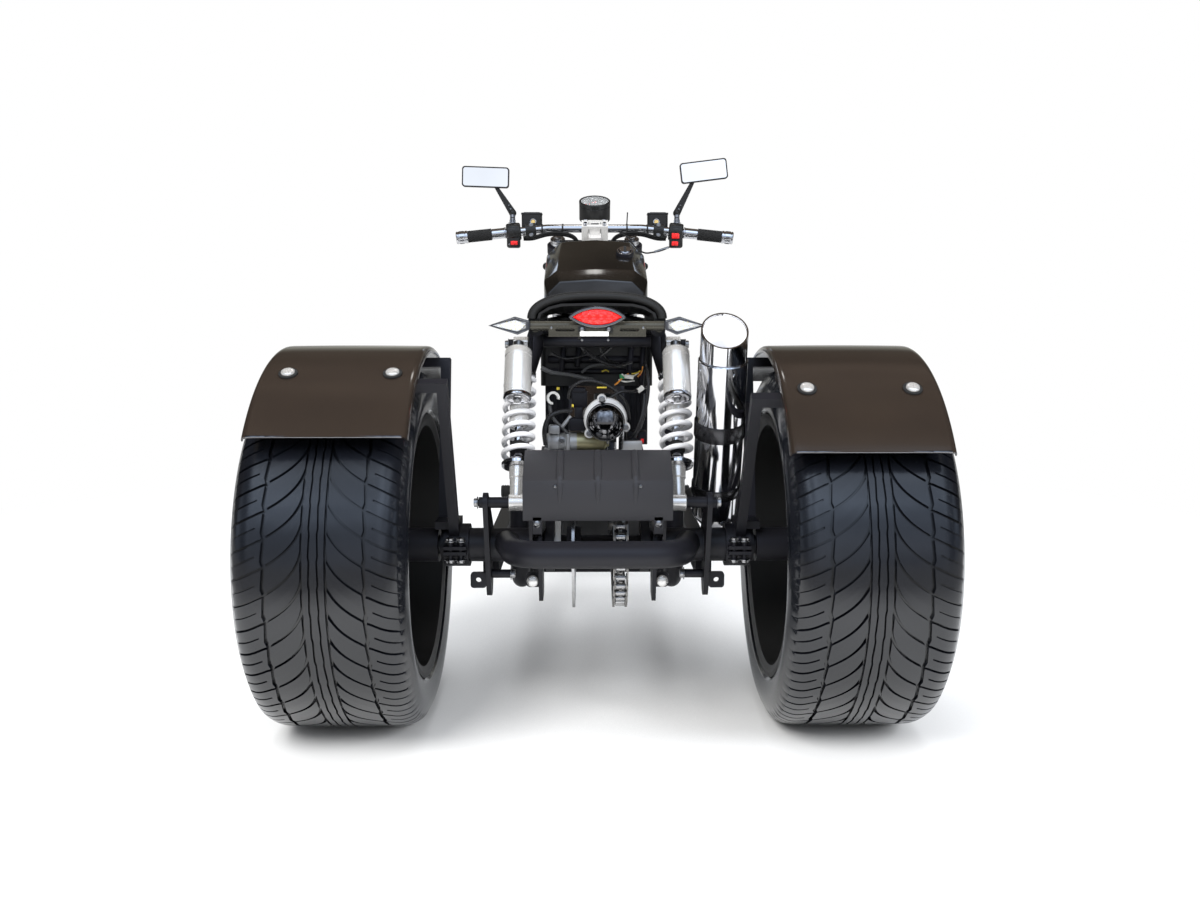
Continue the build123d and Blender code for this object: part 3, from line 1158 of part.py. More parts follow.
def speedometer():
    """Round instrument over the clamp, its face towards the rider."""
    base = steer(0, 78, 62)
    axis = Vector(0, -0.42, 0.91).normalized()
    can = rod(base, base + axis * 52, 43.5)
    bezel = rod(base + axis * 52, base + axis * 58, 40)
    foot = steer(0, 50, 40)
    stalk = fuse(rod(steer(0, 50, TOP_YOKE_T / 2 + FIT), foot, 7), Pos(*foot) * Sphere(7),
                 rod(foot, base + axis * 4, 7))
    save("speedometer", fuse(can, bezel, stalk))


def headlamp():
    """Round headlamp between the fork tubes, with its ears and its lens."""
    profile = [(0, 0.001), (0, 40), (22, 68), (52, LAMP_R - 3), (62, LAMP_R), (100, LAMP_R),
               (100, LAMP_R - 7), (84, LAMP_R - 7), (84, 0.001)]
    face = make_face(Polyline(*profile, close=True))
    bowl = revolve(Plane(origin=at(0, LAMP_Y - 100, LAMP_Z), x_dir=(0, 1, 0), z_dir=(-1, 0, 0)) * face,
                   Axis(at(0, LAMP_Y, LAMP_Z), (0, 1, 0)))
    lens_profile = [(84 + FIT, 0.001), (84 + FIT, LAMP_R - 7 - FIT), (98, LAMP_R - 7 - FIT), (104, 40),
                    (106, 0.001)]
    lens_face = make_face(Polyline(*lens_profile, close=True))
    lens = revolve(Plane(origin=at(0, LAMP_Y - 100, LAMP_Z), x_dir=(0, 1, 0), z_dir=(-1, 0, 0)) * lens_face,
                   Axis(at(0, LAMP_Y, LAMP_Z), (0, 1, 0)))
    ears = []
    for side in (-1, 1):
        plate = side_sheet([(LAMP_Y - 40, LAMP_Z, 12), (LAMP_Y - 140, LAMP_Z + 4, 12)],
                           side * (LAMP_R + 5), 5)
        plate -= rod(steer(side * FORK_X, FORK_OFFSET, -500), steer(side * FORK_X, FORK_OFFSET, 100),
                     FORK_TUBE_R + FIT)
        peg = rod(at(side * (LAMP_R - 4), LAMP_Y - 40, LAMP_Z), at(side * (LAMP_R + 8), LAMP_Y - 40, LAMP_Z), 8)
        ears.append(fuse(plate, peg))
    save("headlamp_shell", fuse(bowl, *ears))
    save("headlamp_lens", lens)


def main():
    """Write every node."""
    os.makedirs("parts", exist_ok=True)
    for make in (rear_tyres, rear_rims, axle_shaft, rear_sprocket, rear_brake_disc, drive_chain,
                 axle_housing, swingarm, main_frame, shock_bodies, shock_springs, rear_bumper_bar,
                 fender_brackets, rear_fenders, mud_guard_plate, engine_crankcase, engine_cylinder,
                 starter_motor, intake_cap, carburettor, electrics_box, exhaust_pipe, muffler,
                 seat_cushion, seat_pan, fuel_tank, key_lock, tail_lamp, plate_bracket, turn_signals,
                 foot_pegs, rear_brake_caliper, fork_yokes, fork_legs, front_tyre, front_rim,
                 front_fender, riser_clamp, handlebar, hand_grips, switch_housings, brake_levers,
                 mirrors, speedometer, headlamp):
        make()


main()
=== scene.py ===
"""Looks of a trike scooter: two wide rear tyres, white springs, chrome muffler and black fenders.

Lengths inside the classes are millimetres; a place is measured from the middle of the rear axle on the
ground, x to the rider's right, y forwards and z up.
"""
from __future__ import annotations

import json
import logging
from dataclasses import dataclass, field
from enum import Enum
from math import asin, copysign, cos, hypot, pi, radians, sin, sqrt
from typing import Iterable, Sequence

import bmesh
import bpy
from mathutils import Matrix, Vector

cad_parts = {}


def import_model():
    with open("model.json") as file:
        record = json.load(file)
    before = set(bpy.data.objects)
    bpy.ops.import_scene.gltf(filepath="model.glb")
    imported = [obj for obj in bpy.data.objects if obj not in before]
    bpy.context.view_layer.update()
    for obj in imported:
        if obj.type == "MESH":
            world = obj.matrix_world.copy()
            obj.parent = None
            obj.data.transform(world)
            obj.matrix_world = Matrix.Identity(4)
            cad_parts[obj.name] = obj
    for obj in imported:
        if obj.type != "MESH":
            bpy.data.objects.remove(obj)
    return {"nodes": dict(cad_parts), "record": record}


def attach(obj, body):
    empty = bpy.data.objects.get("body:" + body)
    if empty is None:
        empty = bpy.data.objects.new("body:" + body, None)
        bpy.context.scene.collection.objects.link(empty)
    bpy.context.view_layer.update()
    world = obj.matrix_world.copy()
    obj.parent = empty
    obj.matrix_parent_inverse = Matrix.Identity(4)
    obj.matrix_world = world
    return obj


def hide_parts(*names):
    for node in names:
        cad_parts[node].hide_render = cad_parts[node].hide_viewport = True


LOG = logging.getLogger("trike_scooter")
MM = 0.001
RAKE = 30.0  # of the steering axis, in degrees
AXLE_HIGH = 330.0  # middle of the rear wheels
RIGHT, AHEAD, BACK, UP = Vector((1, 0, 0)), Vector((0, 1, 0)), Vector((0, -1, 0)), Vector((0, 0, 1))
Point = tuple[float, float, float]
Colour = tuple[float, float, float]


def mm(x: float, y: float, z: float) -> Vector:
    """Offset in metres from millimetres."""
    return Vector((x, y, z)) * MM


def curve(route: Sequence[Vector], steps: int = 8) -> list[Vector]:
    """Smooth line through a route's points.

    Args:
        route: Points that the line passes.
        steps: Runs between two of them.

    Returns:
        The points of the line.
    """
    points = [route[0], *route, route[-1]]
    line = []
    for a, b, c, d in zip(points, points[1:], points[2:], points[3:]):
        for index in range(steps):
            t = index / steps
            line.append(0.5 * (2 * b + (c - a) * t + (2 * a - 5 * b + 4 * c - d) * t * t
                + (3 * b - a - 3 * c + d) * t ** 3))
    line.append(route[-1])
    return line


class Grain(Enum):
    """Kinds of surface relief."""

    PAINT = "paint"
    BRUSHED = "brushed"
    CAST = "cast"
    LEATHER = "leather"
    RUBBER = "rubber"
    MOULDED = "moulded"
    CLEAN = "clean"


class Wiring:
    """Shader nodes of a material or of the sky, each made with its values in one call."""

    def __init__(self, owner: bpy.types.Material | bpy.types.World) -> None:
        """Start from an owner's own nodes."""
        owner.use_nodes = True
        self.nodes, self.links = owner.node_tree.nodes, owner.node_tree.links

    def add(self, kind: str, inputs: dict[str | int, object] | None = None,
            **options: object) -> bpy.types.Node:
        """Make a node.

        Args:
            kind: Type of the node, without its prefix.
            inputs: A value or another node's output for each input.
            **options: The node's own options.

        Returns:
            The node.
        """
        node = self.nodes.new("ShaderNode" + kind)
        for option, value in options.items():
            setattr(node, option, value)
        self.feed(node, inputs or {})
        return node

    def feed(self, node: bpy.types.Node, inputs: dict[str | int, object]) -> None:
        """Set or join a node's inputs.

        Args:
            node: The node.
            inputs: A value or another node's output for each input.
        """
        for name, value in inputs.items():
            if isinstance(value, bpy.types.NodeSocket):
                self.links.new(value, node.inputs[name])
            else:
                node.inputs[name].default_value = value

    def math(self, operation: str, *inputs: object) -> bpy.types.NodeSocket:
        """Result of a sum on values or outputs.

        Args:
            operation: The sum's name.
            *inputs: What it reads.

        Returns:
            The output.
        """
        return self.add("Math", dict(enumerate(inputs)), operation=operation).outputs[0]


@dataclass(frozen=True)
class Finish:
    """One finish of the scooter, with its colour drift, gloss, relief and glow; the glow is painted light
    except on the signal lamps' dots.
    """

    name: str
    colour: Colour
    drift: Colour
    grain: Grain
    rough: float = 0.4
    spread: float = 0.08
    metal: float = 0.0
    coat: float = 0.0
    clear: float = 0.0
    scale: float = 300.0
    relief: float = 0.1
    # glow: emission of the surface; on every finish but the signal lamps' dots it is painted light on a part
    # that is no lamp
    glow: float = 0.0

    def material(self) -> bpy.types.Material:
        """Build the finish, or give the one that was built before.

        Returns:
            The Blender material.
        """
        known = bpy.data.materials.get(self.name)
        if known:
            return known
        made = bpy.data.materials.new(self.name)
        wiring = Wiring(made)
        stretch = (1, 1, 14) if self.grain is Grain.BRUSHED else (1, 1, 1)
        place = wiring.add("Mapping", {"Vector": wiring.add("TexCoord").outputs["Object"],
            "Scale": stretch}).outputs["Vector"]
        broad, fine = (wiring.add("TexNoise",
            {"Vector": place, "Scale": scale, "Detail": detail}).outputs["Fac"] for scale,
            detail in ((9.0, 3.0), (self.scale, 4.0)))
        blend = wiring.add("Mix", {"Factor": broad, "A": (*self.colour, 1), "B": (*self.drift, 1)},
            data_type="RGBA")
        span = wiring.add("MapRange", {"Value": fine, "To Min": max(self.rough - self.spread, 0.02),
            "To Max": self.rough + self.spread})
        shader = wiring.nodes["Principled BSDF"]
        # Emission Strength from glow paints light onto parts that are no lamps
        wiring.feed(shader, {"Base Color": blend.outputs["Result"], "Roughness": span.outputs["Result"],
            "Metallic": self.metal, "Coat Weight": self.coat, "Coat Roughness": 0.04 + self.rough * 0.3,
            "Transmission Weight": self.clear, "Emission Color": (*self.colour, 1),
            "Emission Strength": self.glow})
        if self.grain is Grain.LEATHER:
            cells = wiring.add("TexVoronoi", {"Vector": place, "Scale": self.scale},
                feature="DISTANCE_TO_EDGE")
            fine = wiring.add("MapRange",
                {"Value": cells.outputs["Distance"], "From Max": 0.22}).outputs["Result"]
        if self.grain is not Grain.CLEAN:
            bump = wiring.add("Bump", {"Height": fine, "Distance": self.relief * MM, "Strength": 0.6})
            wiring.feed(shader, {"Normal": bump.outputs["Normal"]})
        return made


class FINISH:
    """Every finish of the scooter."""

    frame_black = Finish("frame_black", (0.006, 0.0065, 0.0075), (0.010, 0.011, 0.012), Grain.PAINT, 0.16,
        0.05, coat=0.9, scale=420, relief=0.03)
    fender_gloss = Finish("fender_gloss", (0.022, 0.016, 0.012), (0.016, 0.012, 0.010), Grain.PAINT, 0.16,
        0.03, coat=0.7, scale=160, relief=0.02)
    tank_gloss = Finish("tank_gloss", (0.004, 0.0035, 0.003), (0.007, 0.006, 0.005), Grain.PAINT, 0.14, 0.04,
        coat=1.0, scale=300, relief=0.02)
    plate_satin = Finish("plate_satin", (0.36, 0.38, 0.46), (0.28, 0.295, 0.35), Grain.MOULDED, 0.28, 0.07,
        metal=0.7, coat=0.2, scale=500, relief=0.06)
    rim_black = Finish("rim_black", (0.006, 0.006, 0.007), (0.010, 0.010, 0.011), Grain.PAINT, 0.14, 0.04,
        coat=1.0, scale=200, relief=0.02)
    pipe_black = Finish("pipe_black", (0.018, 0.018, 0.018), (0.03, 0.028, 0.026), Grain.CAST, 0.5, 0.1,
        scale=600, relief=0.1)
    alloy = Finish("alloy", (0.72, 0.73, 0.75), (0.62, 0.63, 0.66), Grain.BRUSHED, 0.2, 0.08, metal=1.0,
        scale=180, relief=0.03)
    cast_alloy = Finish("cast_alloy", (0.56, 0.57, 0.59), (0.42, 0.43, 0.44), Grain.CAST, 0.38, 0.12,
        metal=0.6, scale=900, relief=0.25)
    cast_dark = Finish("cast_dark", (0.02, 0.021, 0.023), (0.035, 0.036, 0.038), Grain.CAST, 0.45, 0.12,
        metal=0.2, scale=700, relief=0.25)
    # spring_white: glow 0.35 is painted light that makes the coils brighter than the lamps leave them
    spring_white = Finish("spring_white", (0.93, 0.93, 0.94), (0.88, 0.89, 0.90), Grain.PAINT, 0.22, 0.05,
        coat=0.7, scale=400, relief=0.03, glow=0.35)
    # satin_alloy: glow 0.05 is a faint painted sheen on the reservoirs and bolts
    satin_alloy = Finish("satin_alloy", (0.88, 0.87, 0.85), (0.80, 0.79, 0.78), Grain.BRUSHED, 0.26, 0.03,
        metal=0.75, scale=200, relief=0.008, glow=0.05)
    # bright_liner: glow 0.08 is painted light that whitens the muffler's liner
    liner = Finish("bright_liner", (0.88, 0.88, 0.89), (0.80, 0.80, 0.82), Grain.BRUSHED, 0.4, 0.08,
        metal=0.3, scale=160, relief=0.03, glow=0.08)
    smoked = Finish("smoked_chrome", (0.26, 0.26, 0.27), (0.20, 0.20, 0.21), Grain.CLEAN, 0.08, 0.03,
        metal=1.0)
    holder = Finish("holder_olive", (0.10, 0.095, 0.075), (0.07, 0.066, 0.055), Grain.MOULDED, 0.26, 0.06,
        metal=0.6, scale=400, relief=0.04)
    hose = Finish("gloss_hose", (0.014, 0.014, 0.015), (0.03, 0.03, 0.032), Grain.RUBBER, 0.26, 0.08,
        coat=0.5, scale=500, relief=0.08)
    zinc_yellow = Finish("zinc_yellow", (0.80, 0.74, 0.42), (0.66, 0.62, 0.44), Grain.BRUSHED, 0.3, 0.1,
        metal=0.6, scale=150, relief=0.05)
    chrome = Finish("chrome", (0.86, 0.87, 0.88), (0.80, 0.81, 0.83), Grain.CLEAN, 0.05, 0.02, metal=1.0,
        scale=60)
    strap = Finish("dark_strap", (0.10, 0.10, 0.105), (0.06, 0.06, 0.065), Grain.BRUSHED, 0.25, 0.08,
        metal=0.9, scale=200, relief=0.04)
    steel = Finish("steel", (0.55, 0.55, 0.55), (0.42, 0.42, 0.43), Grain.BRUSHED, 0.28, 0.1, metal=1.0,
        scale=300, relief=0.06)
    chain_steel = Finish("chain_steel", (0.44, 0.43, 0.42), (0.20, 0.19, 0.18), Grain.CAST, 0.34, 0.12,
        metal=1.0, scale=500, relief=0.08)
    tyre = Finish("tyre_rubber", (0.0025, 0.003, 0.0045), (0.006, 0.007, 0.010), Grain.RUBBER, 0.24, 0.07,
        coat=0.5, scale=260, relief=0.06)
    rubber = Finish("rubber_black", (0.012, 0.012, 0.013), (0.02, 0.02, 0.021), Grain.RUBBER, 0.55, 0.1,
        scale=700, relief=0.15)
    plastic = Finish("plastic_black", (0.011, 0.011, 0.012), (0.019, 0.019, 0.02), Grain.MOULDED, 0.38, 0.08,
        scale=900, relief=0.08)
    leather = Finish("seat_leather", (0.012, 0.012, 0.013), (0.02, 0.02, 0.021), Grain.LEATHER, 0.42, 0.08,
        scale=520, relief=0.35)
    # mirror_silver: glow 0.5 is a painted reflection of a bright backdrop in the glass
    mirror = Finish("mirror_silver", (0.93, 0.94, 0.95), (0.92, 0.93, 0.94), Grain.CLEAN, 0.03, 0.01,
        metal=1.0, glow=0.5)
    # red_lens: glow 0.22 is painted light that brightens the red of the tail lens
    red_lens = Finish("red_lens", (0.80, 0.010, 0.006), (0.62, 0.006, 0.004), Grain.CLEAN, 0.06, 0.03,
        coat=1.0, glow=0.22)
    clear_lens = Finish("clear_lens", (0.93, 0.95, 0.96), (0.90, 0.92, 0.94), Grain.CLEAN, 0.04, 0.02,
        coat=0.4, clear=0.85)
    white_plastic = Finish("white_plastic", (0.78, 0.78, 0.76), (0.70, 0.70, 0.68), Grain.MOULDED, 0.4, 0.08,
        scale=600, relief=0.05)
    red_plastic = Finish("red_plastic", (0.62, 0.02, 0.02), (0.5, 0.015, 0.015), Grain.MOULDED, 0.35, 0.05,
        scale=600, relief=0.05)
    green_plastic = Finish("green_plastic", (0.05, 0.36, 0.14), (0.04, 0.28, 0.1), Grain.MOULDED, 0.4, 0.05,
        scale=600, relief=0.05)
    orange_wire = Finish("orange_wire", (0.75, 0.30, 0.04), (0.65, 0.24, 0.03), Grain.MOULDED, 0.4, 0.05,
        scale=600, relief=0.05)
    yellow_plastic = Finish("yellow_plastic", (0.78, 0.62, 0.08), (0.7, 0.55, 0.06), Grain.MOULDED, 0.4, 0.05,
        scale=600, relief=0.05)
    led = Finish("led_dots", (0.9, 0.82, 0.45), (0.8, 0.7, 0.3), Grain.CLEAN, 0.3, 0.05, glow=0.15)
    # signal_reflector: glow 0.35 is painted light that whitens the signal dishes
    reflector = Finish("signal_reflector", (0.90, 0.91, 0.94), (0.78, 0.80, 0.84), Grain.CAST, 0.22, 0.08,
        metal=0.2, scale=350, relief=0.3, glow=0.35)
    # sight_glass: glow 0.05 is a faint painted glow in the sight glasses
    amber = Finish("sight_glass", (0.55, 0.42, 0.18), (0.42, 0.30, 0.10), Grain.CLEAN, 0.08, 0.03, coat=0.8,
        glow=0.05)
    pale_cast = Finish("pale_cast", (0.80, 0.80, 0.81), (0.68, 0.69, 0.70), Grain.CAST, 0.35, 0.1, metal=0.4,
        scale=900, relief=0.2)
    clamp_alloy = Finish("clamp_alloy", (0.74, 0.73, 0.71), (0.62, 0.61, 0.60), Grain.CAST, 0.28, 0.08,
        metal=0.35, scale=800, relief=0.08)
    conduit = Finish("grey_conduit", (0.11, 0.115, 0.12), (0.07, 0.072, 0.078), Grain.MOULDED, 0.4, 0.08,
        scale=900, relief=0.2)


@dataclass
class Frame:
    """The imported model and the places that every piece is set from."""

    nodes: dict[str, bpy.types.Object]
    joints: dict[str, Vector]

    @classmethod
    def load(cls) -> Frame:
        """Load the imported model.

        Returns:
            The frame with its nodes and joint places.
        """
        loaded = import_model()
        rows = loaded["record"]["behaviour"]["joints"]
        return cls(loaded["nodes"], {row["name"]: Vector(row["pos_m"]) for row in rows})

    def steer(self, x: float, ahead: float, up: float) -> Vector:
        """Point in metres from millimetres that start at the top yoke, across and along the steering axis.

        Args:
            x: To the right.
            ahead: Forwards, square to the steering axis.
            up: Up the steering axis.

        Returns:
            The point in the frame of the whole.
        """
        rake = radians(RAKE)
        across = Vector((0, cos(rake), sin(rake)))
        axis = Vector((0, -sin(rake), cos(rake)))
        return self.joints["steering_turn"] + (Vector((x, 0, 0)) + across * ahead + axis * up) * MM

    def dress(self, finish: Finish, *names: str) -> None:
        """Give CAD nodes a finish.

        Args:
            finish: The finish.
            *names: The nodes.
        """
        for name in names:
            node = self.nodes[name]
            for slot in node.material_slots:
                slot.link = "OBJECT"
                slot.material = finish.material()


class Form:
    """A mesh in the making, in metres, shaped by bmesh operators."""

    def __init__(self) -> None:
        """Start with an empty mesh."""
        self.mesh = bmesh.new()

    @staticmethod
    def edges_of(parts: Iterable[bmesh.types.BMVert | bmesh.types.BMEdge]) -> list[bmesh.types.BMEdge]:
        """Edges among mesh parts."""
        return [part for part in parts if isinstance(part, bmesh.types.BMEdge)]

    @staticmethod
    def around(verts: Iterable[bmesh.types.BMVert]) -> list[bmesh.types.BMEdge]:
        """Edges that end at any of some vertices."""
        return list({edge for vert in verts for edge in vert.link_edges})

    def ring(self, points: Iterable[Vector], closed: bool = True) -> tuple[list, list]:
        """Vertices at points, and the edges between them.

        Args:
            points: The points in order, in metres.
            closed: Whether the last point joins the first.

        Returns:
            The vertices and the edges.
        """
        verts = [self.mesh.verts.new(point) for point in points]
        after = verts[1:] + verts[:1] if closed else verts[1:]
        return verts, [self.mesh.edges.new(pair) for pair in zip(verts, after)]

    def cap(self, *loops: list[bmesh.types.BMEdge]) -> None:
        """Fill closed loops of edges."""
        for loop in loops:
            bmesh.ops.edgeloop_fill(self.mesh, edges=loop)

    def soften(self, edges: list[bmesh.types.BMEdge], offset: float, segments: int = 2,
            clamp: bool = False) -> list[bmesh.types.BMVert]:
        """Round some edges.

        Args:
            edges: The edges.
            offset: Width of the bevel in millimetres.
            segments: Faces across it.
            clamp: Whether it stops where it would overlap.

        Returns:
            The vertices of the bevel.
        """
        return bmesh.ops.bevel(self.mesh, geom=edges, offset=offset * MM, affect="EDGES", segments=segments,
            profile=0.5, material=-1, clamp_overlap=clamp)["verts"]

    def weld(self) -> None:
        """Merge vertices that meet and point every face outwards."""
        bmesh.ops.remove_doubles(self.mesh, verts=self.mesh.verts, dist=1e-6)
        bmesh.ops.recalc_face_normals(self.mesh, faces=self.mesh.faces)

    def turned(self, axis: Vector) -> Matrix:
        """Rotation that carries +Z onto an axis."""
        return UP.rotation_difference(axis.normalized()).to_matrix().to_4x4()

    def lathe(self, profile: Sequence[tuple[float, float]], origin: Vector, axis: Vector, steps: int = 48,
            arc: float = 360.0, closed: bool = False) -> None:
        """Turn a profile about an axis.

        Args:
            profile: Pairs of millimetres (along the axis, radius).
            origin: Start of the axis.
            axis: Direction of the axis.
            steps: Sides of the turned shape.
            arc: Angle turned through, in degrees.
            closed: Whether the last point of the profile joins the first.
        """
        whole = abs(arc) >= 360
        verts, edges = self.ring(((radius * MM, 0, along * MM) for along, radius in profile), closed)
        made = bmesh.ops.spin(self.mesh, geom=verts + edges, cent=(0, 0, 0), axis=(0, 0, 1),
            angle=radians(arc), steps=steps, use_merge=whole, use_duplicate=False)
        if closed and not whole:
            self.cap(self.edges_of(made["geom_last"]), edges)
        self.settle(verts, origin, self.turned(axis))

    def settle(self, seeds: Iterable[bmesh.types.BMVert], origin: Vector, turn: Matrix) -> None:
        """Weld a new shell, point its faces outwards and set it in place.

        Args:
            seeds: Some vertices of the shell.
            origin: Where the shell's own origin goes.
            turn: Rotation of the shell.
        """
        shell = set(seeds)
        queue = list(shell)
        while queue:
            for edge in queue.pop().link_edges:
                for vert in edge.verts:
                    if vert not in shell:
                        shell.add(vert)
                        queue.append(vert)
        bmesh.ops.remove_doubles(self.mesh, verts=list(shell), dist=1e-6)
        shell = {vert for vert in shell if vert.is_valid}
        faces = {face for vert in shell for face in vert.link_faces}
        bmesh.ops.recalc_face_normals(self.mesh, faces=list(faces))
        bmesh.ops.transform(self.mesh, matrix=Matrix.Translation(origin) @ turn, verts=list(shell))

    def rod(self, start: Vector, end: Vector, radius: float, soften: float = 0.8, steps: int = 24) -> None:
        """Round rod with softened ends.

        Args:
            start: One end.
            end: The other end.
            radius: Radius in millimetres.
            soften: Bevel of the ends in millimetres.
            steps: Sides.
        """
        length = (end - start).length / MM
        cut = min(soften, radius * 0.4, length * 0.4)
        profile = [(0, 0), (0, radius - cut), (cut * 0.3, radius - cut * 0.3), (cut, radius),
            (length - cut, radius), (length - cut * 0.3, radius - cut * 0.3), (length, radius - cut),
            (length, 0)]
        self.lathe(profile, start, end - start, steps)

    def pipe(self, start: Vector, end: Vector, radius: float, bore: float, steps: int = 40) -> None:
        """Round tube with an open bore.

        Args:
            start: One end.
            end: The other end.
            radius: Outer radius in millimetres.
            bore: Inner radius in millimetres.
            steps: Sides.
        """
        length = (end - start).length / MM
        soft = min(0.8, (radius - bore) * 0.3)
        profile = [(soft, radius), (length - soft, radius), (length, radius - soft), (length, bore + soft),
            (length - soft, bore), (soft, bore), (0, bore + soft), (0, radius - soft)]
        self.lathe(profile, start, end - start, steps, closed=True)

    def brick(self, low: Vector, high: Vector, soften: float = 1.0, turn: Matrix | None = None) -> None:
        """Box with rounded edges.

        Args:
            low: Lowest corner, in metres.
            high: Highest corner, in metres.
            soften: Radius of the edges in millimetres.
            turn: Rotation about the middle of the box.
        """
        middle = (low + high) / 2
        made = bmesh.ops.create_cube(self.mesh, size=1.0)
        bmesh.ops.scale(self.mesh, vec=high - low, verts=made["verts"])
        soft = self.soften(self.around(made["verts"]), soften)
        self.settle(soft, middle, turn or Matrix.Identity(4))

    def blocks(self, origin: Vector, *rows: Sequence[float]) -> None:
        """Boxes set from one origin.

        Args:
            origin: The origin, in metres.
            *rows: Lowest corner, highest corner and edge radius of each box, in millimetres.
        """
        for row in rows:
            self.brick(origin + mm(*row[:3]), origin + mm(*row[3:6]), row[6])

    def plate(self, outline: Sequence[Vector], thickness: Vector, soften: float = 0.6) -> None:
        """Flat plate with softened edges.

        Args:
            outline: Corners in order, in metres.
            thickness: Direction and depth of the plate, in metres.
            soften: Radius of the edges in millimetres.
        """
        verts = [self.mesh.verts.new(corner) for corner in outline]
        face = self.mesh.faces.new(verts)
        grown = bmesh.ops.extrude_face_region(self.mesh, geom=[face], use_keep_orig=True)
        moved = [item for item in grown["geom"] if isinstance(item, bmesh.types.BMVert)]
        bmesh.ops.translate(self.mesh, verts=moved, vec=thickness)
        edges = [edge for edge in self.around(verts + moved) if len(edge.link_faces) == 2]
        if soften:
            verts = self.soften(edges, soften, clamp=True)
        self.settle(verts, Vector(), Matrix.Identity(4))

    def sweep(self, path: Sequence[Vector], radius: float, steps: int = 12) -> None:
        """Round wire or tube along a path.

        Args:
            path: Points in metres.
            radius: Radius in millimetres.
            steps: Sides.
        """
        points = [Vector(p) for p in path]
        aim = points[1] - points[0]
        ring = bmesh.ops.create_circle(self.mesh, segments=steps, radius=radius * MM, cap_ends=False)["verts"]
        bmesh.ops.transform(self.mesh, matrix=Matrix.Translation(points[0]) @ self.turned(aim), verts=ring)
        edges = first = self.around(ring)
        for index in range(1, len(points)):
            ahead = points[min(index + 1, len(points) - 1)] - points[index - 1]
            grown = bmesh.ops.extrude_edge_only(self.mesh, edges=edges)["geom"]
            verts = [item for item in grown if isinstance(item, bmesh.types.BMVert)]
            edges = self.edges_of(grown)
            turn = aim.rotation_difference(ahead).to_matrix().to_4x4()
            place = Matrix.Translation(points[index]) @ turn @ Matrix.Translation(-points[index - 1])
            bmesh.ops.transform(self.mesh, matrix=place, verts=verts)
            aim = ahead
        self.cap(first, edges)
        self.settle(ring, Vector(), Matrix.Identity(4))

    def skin(self, rings: Sequence[Sequence[Vector]]) -> None:
        """Closed skin over rings of points, with both ends filled.

        Args:
            rings: Closed rings with the same number of points, in metres.
        """
        made = [self.ring(points) for points in rings]
        for (_, low), (_, high) in zip(made, made[1:]):
            bmesh.ops.bridge_loops(self.mesh, edges=low + high)
        self.cap(made[0][1], made[-1][1])
        self.settle(made[0][0], Vector(), Matrix.Identity(4))

    def bolt(self, seat: Vector, axis: Vector, across: float, height: float = 0.0) -> None:
        """Hexagon head with its washer.

        Args:
            seat: Middle of the washer's seat.
            axis: Direction that the head stands out in.
            across: Radius over the corners in millimetres.
            height: Height of the head in millimetres, or 0 for the usual one.
        """
        tall = height or across * 0.62
        washer = across * 0.14
        out = axis.normalized() * MM
        self.rod(seat, seat + out * washer, across * 1.3, 0.2, 20)
        made = bmesh.ops.create_cone(self.mesh, cap_ends=True, segments=6, radius1=across * MM, radius2=across
            * MM, depth=tall * MM)["verts"]
        soft = self.soften(self.around(made), across * 0.08, 1)
        self.settle(soft, seat + out * (washer + tall / 2), self.turned(axis))

    def dome(self, seat: Vector, axis: Vector, radius: float, height: float, steps: int = 24) -> None:
        """Low round cap, as on a button head.

        Args:
            seat: Middle of the seat.
            axis: Direction that the cap stands out in.
            radius: Radius in millimetres.
            height: Height in millimetres.
            steps: Sides.
        """
        arc = [radians(angle) for angle in range(0, 91, 15)]
        profile = [(0, 0), (0, radius)] + [(height * (0.25 + 0.75 * sin(a)), radius * cos(a)) for a in arc]
        profile[-1] = (height, 0)
        self.lathe(profile, seat, axis, steps)

    def piece(self, name: str, finish: Finish, slot: str, *replaces: str, body: str = "chassis",
            crease: float = 32.0) -> bpy.types.Object:
        """Close the form into an object that rides on a body.

        Args:
            name: The piece's name.
            finish: Its finish.
            slot: The record's material slot; not used.
            *replaces: CAD nodes that it stands for.
            body: The CAD body that it rides on.
            crease: Angle over which an edge stays sharp, in degrees.

        Returns:
            The object.
        """
        data = bpy.data.meshes.new(name)
        self.mesh.to_mesh(data)
        self.mesh.free()
        data.shade_smooth()
        data.set_sharp_from_angle(angle=radians(crease))
        made = bpy.data.objects.new(name, data)
        bpy.context.scene.collection.objects.link(made)
        made.data.materials.append(finish.material())
        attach(made, body)
        if replaces:
            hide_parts(*replaces)
        LOG.info("%s: %d faces on %s", name, len(data.polygons), body)
        return made


@dataclass
class Assembly:
    """Sub-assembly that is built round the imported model."""

    frame: Frame

    def at(self, x: float, y: float, z: float) -> Vector:
        """Point in metres from millimetres that start at the rear axle, on the ground."""
        return mm(x, y, z) + Vector((0, self.frame.joints["rear_axle_spin"].y, 0))

    def build(self) -> None:
        """Make the sub-assembly's pieces and dress its nodes."""
        raise NotImplementedError


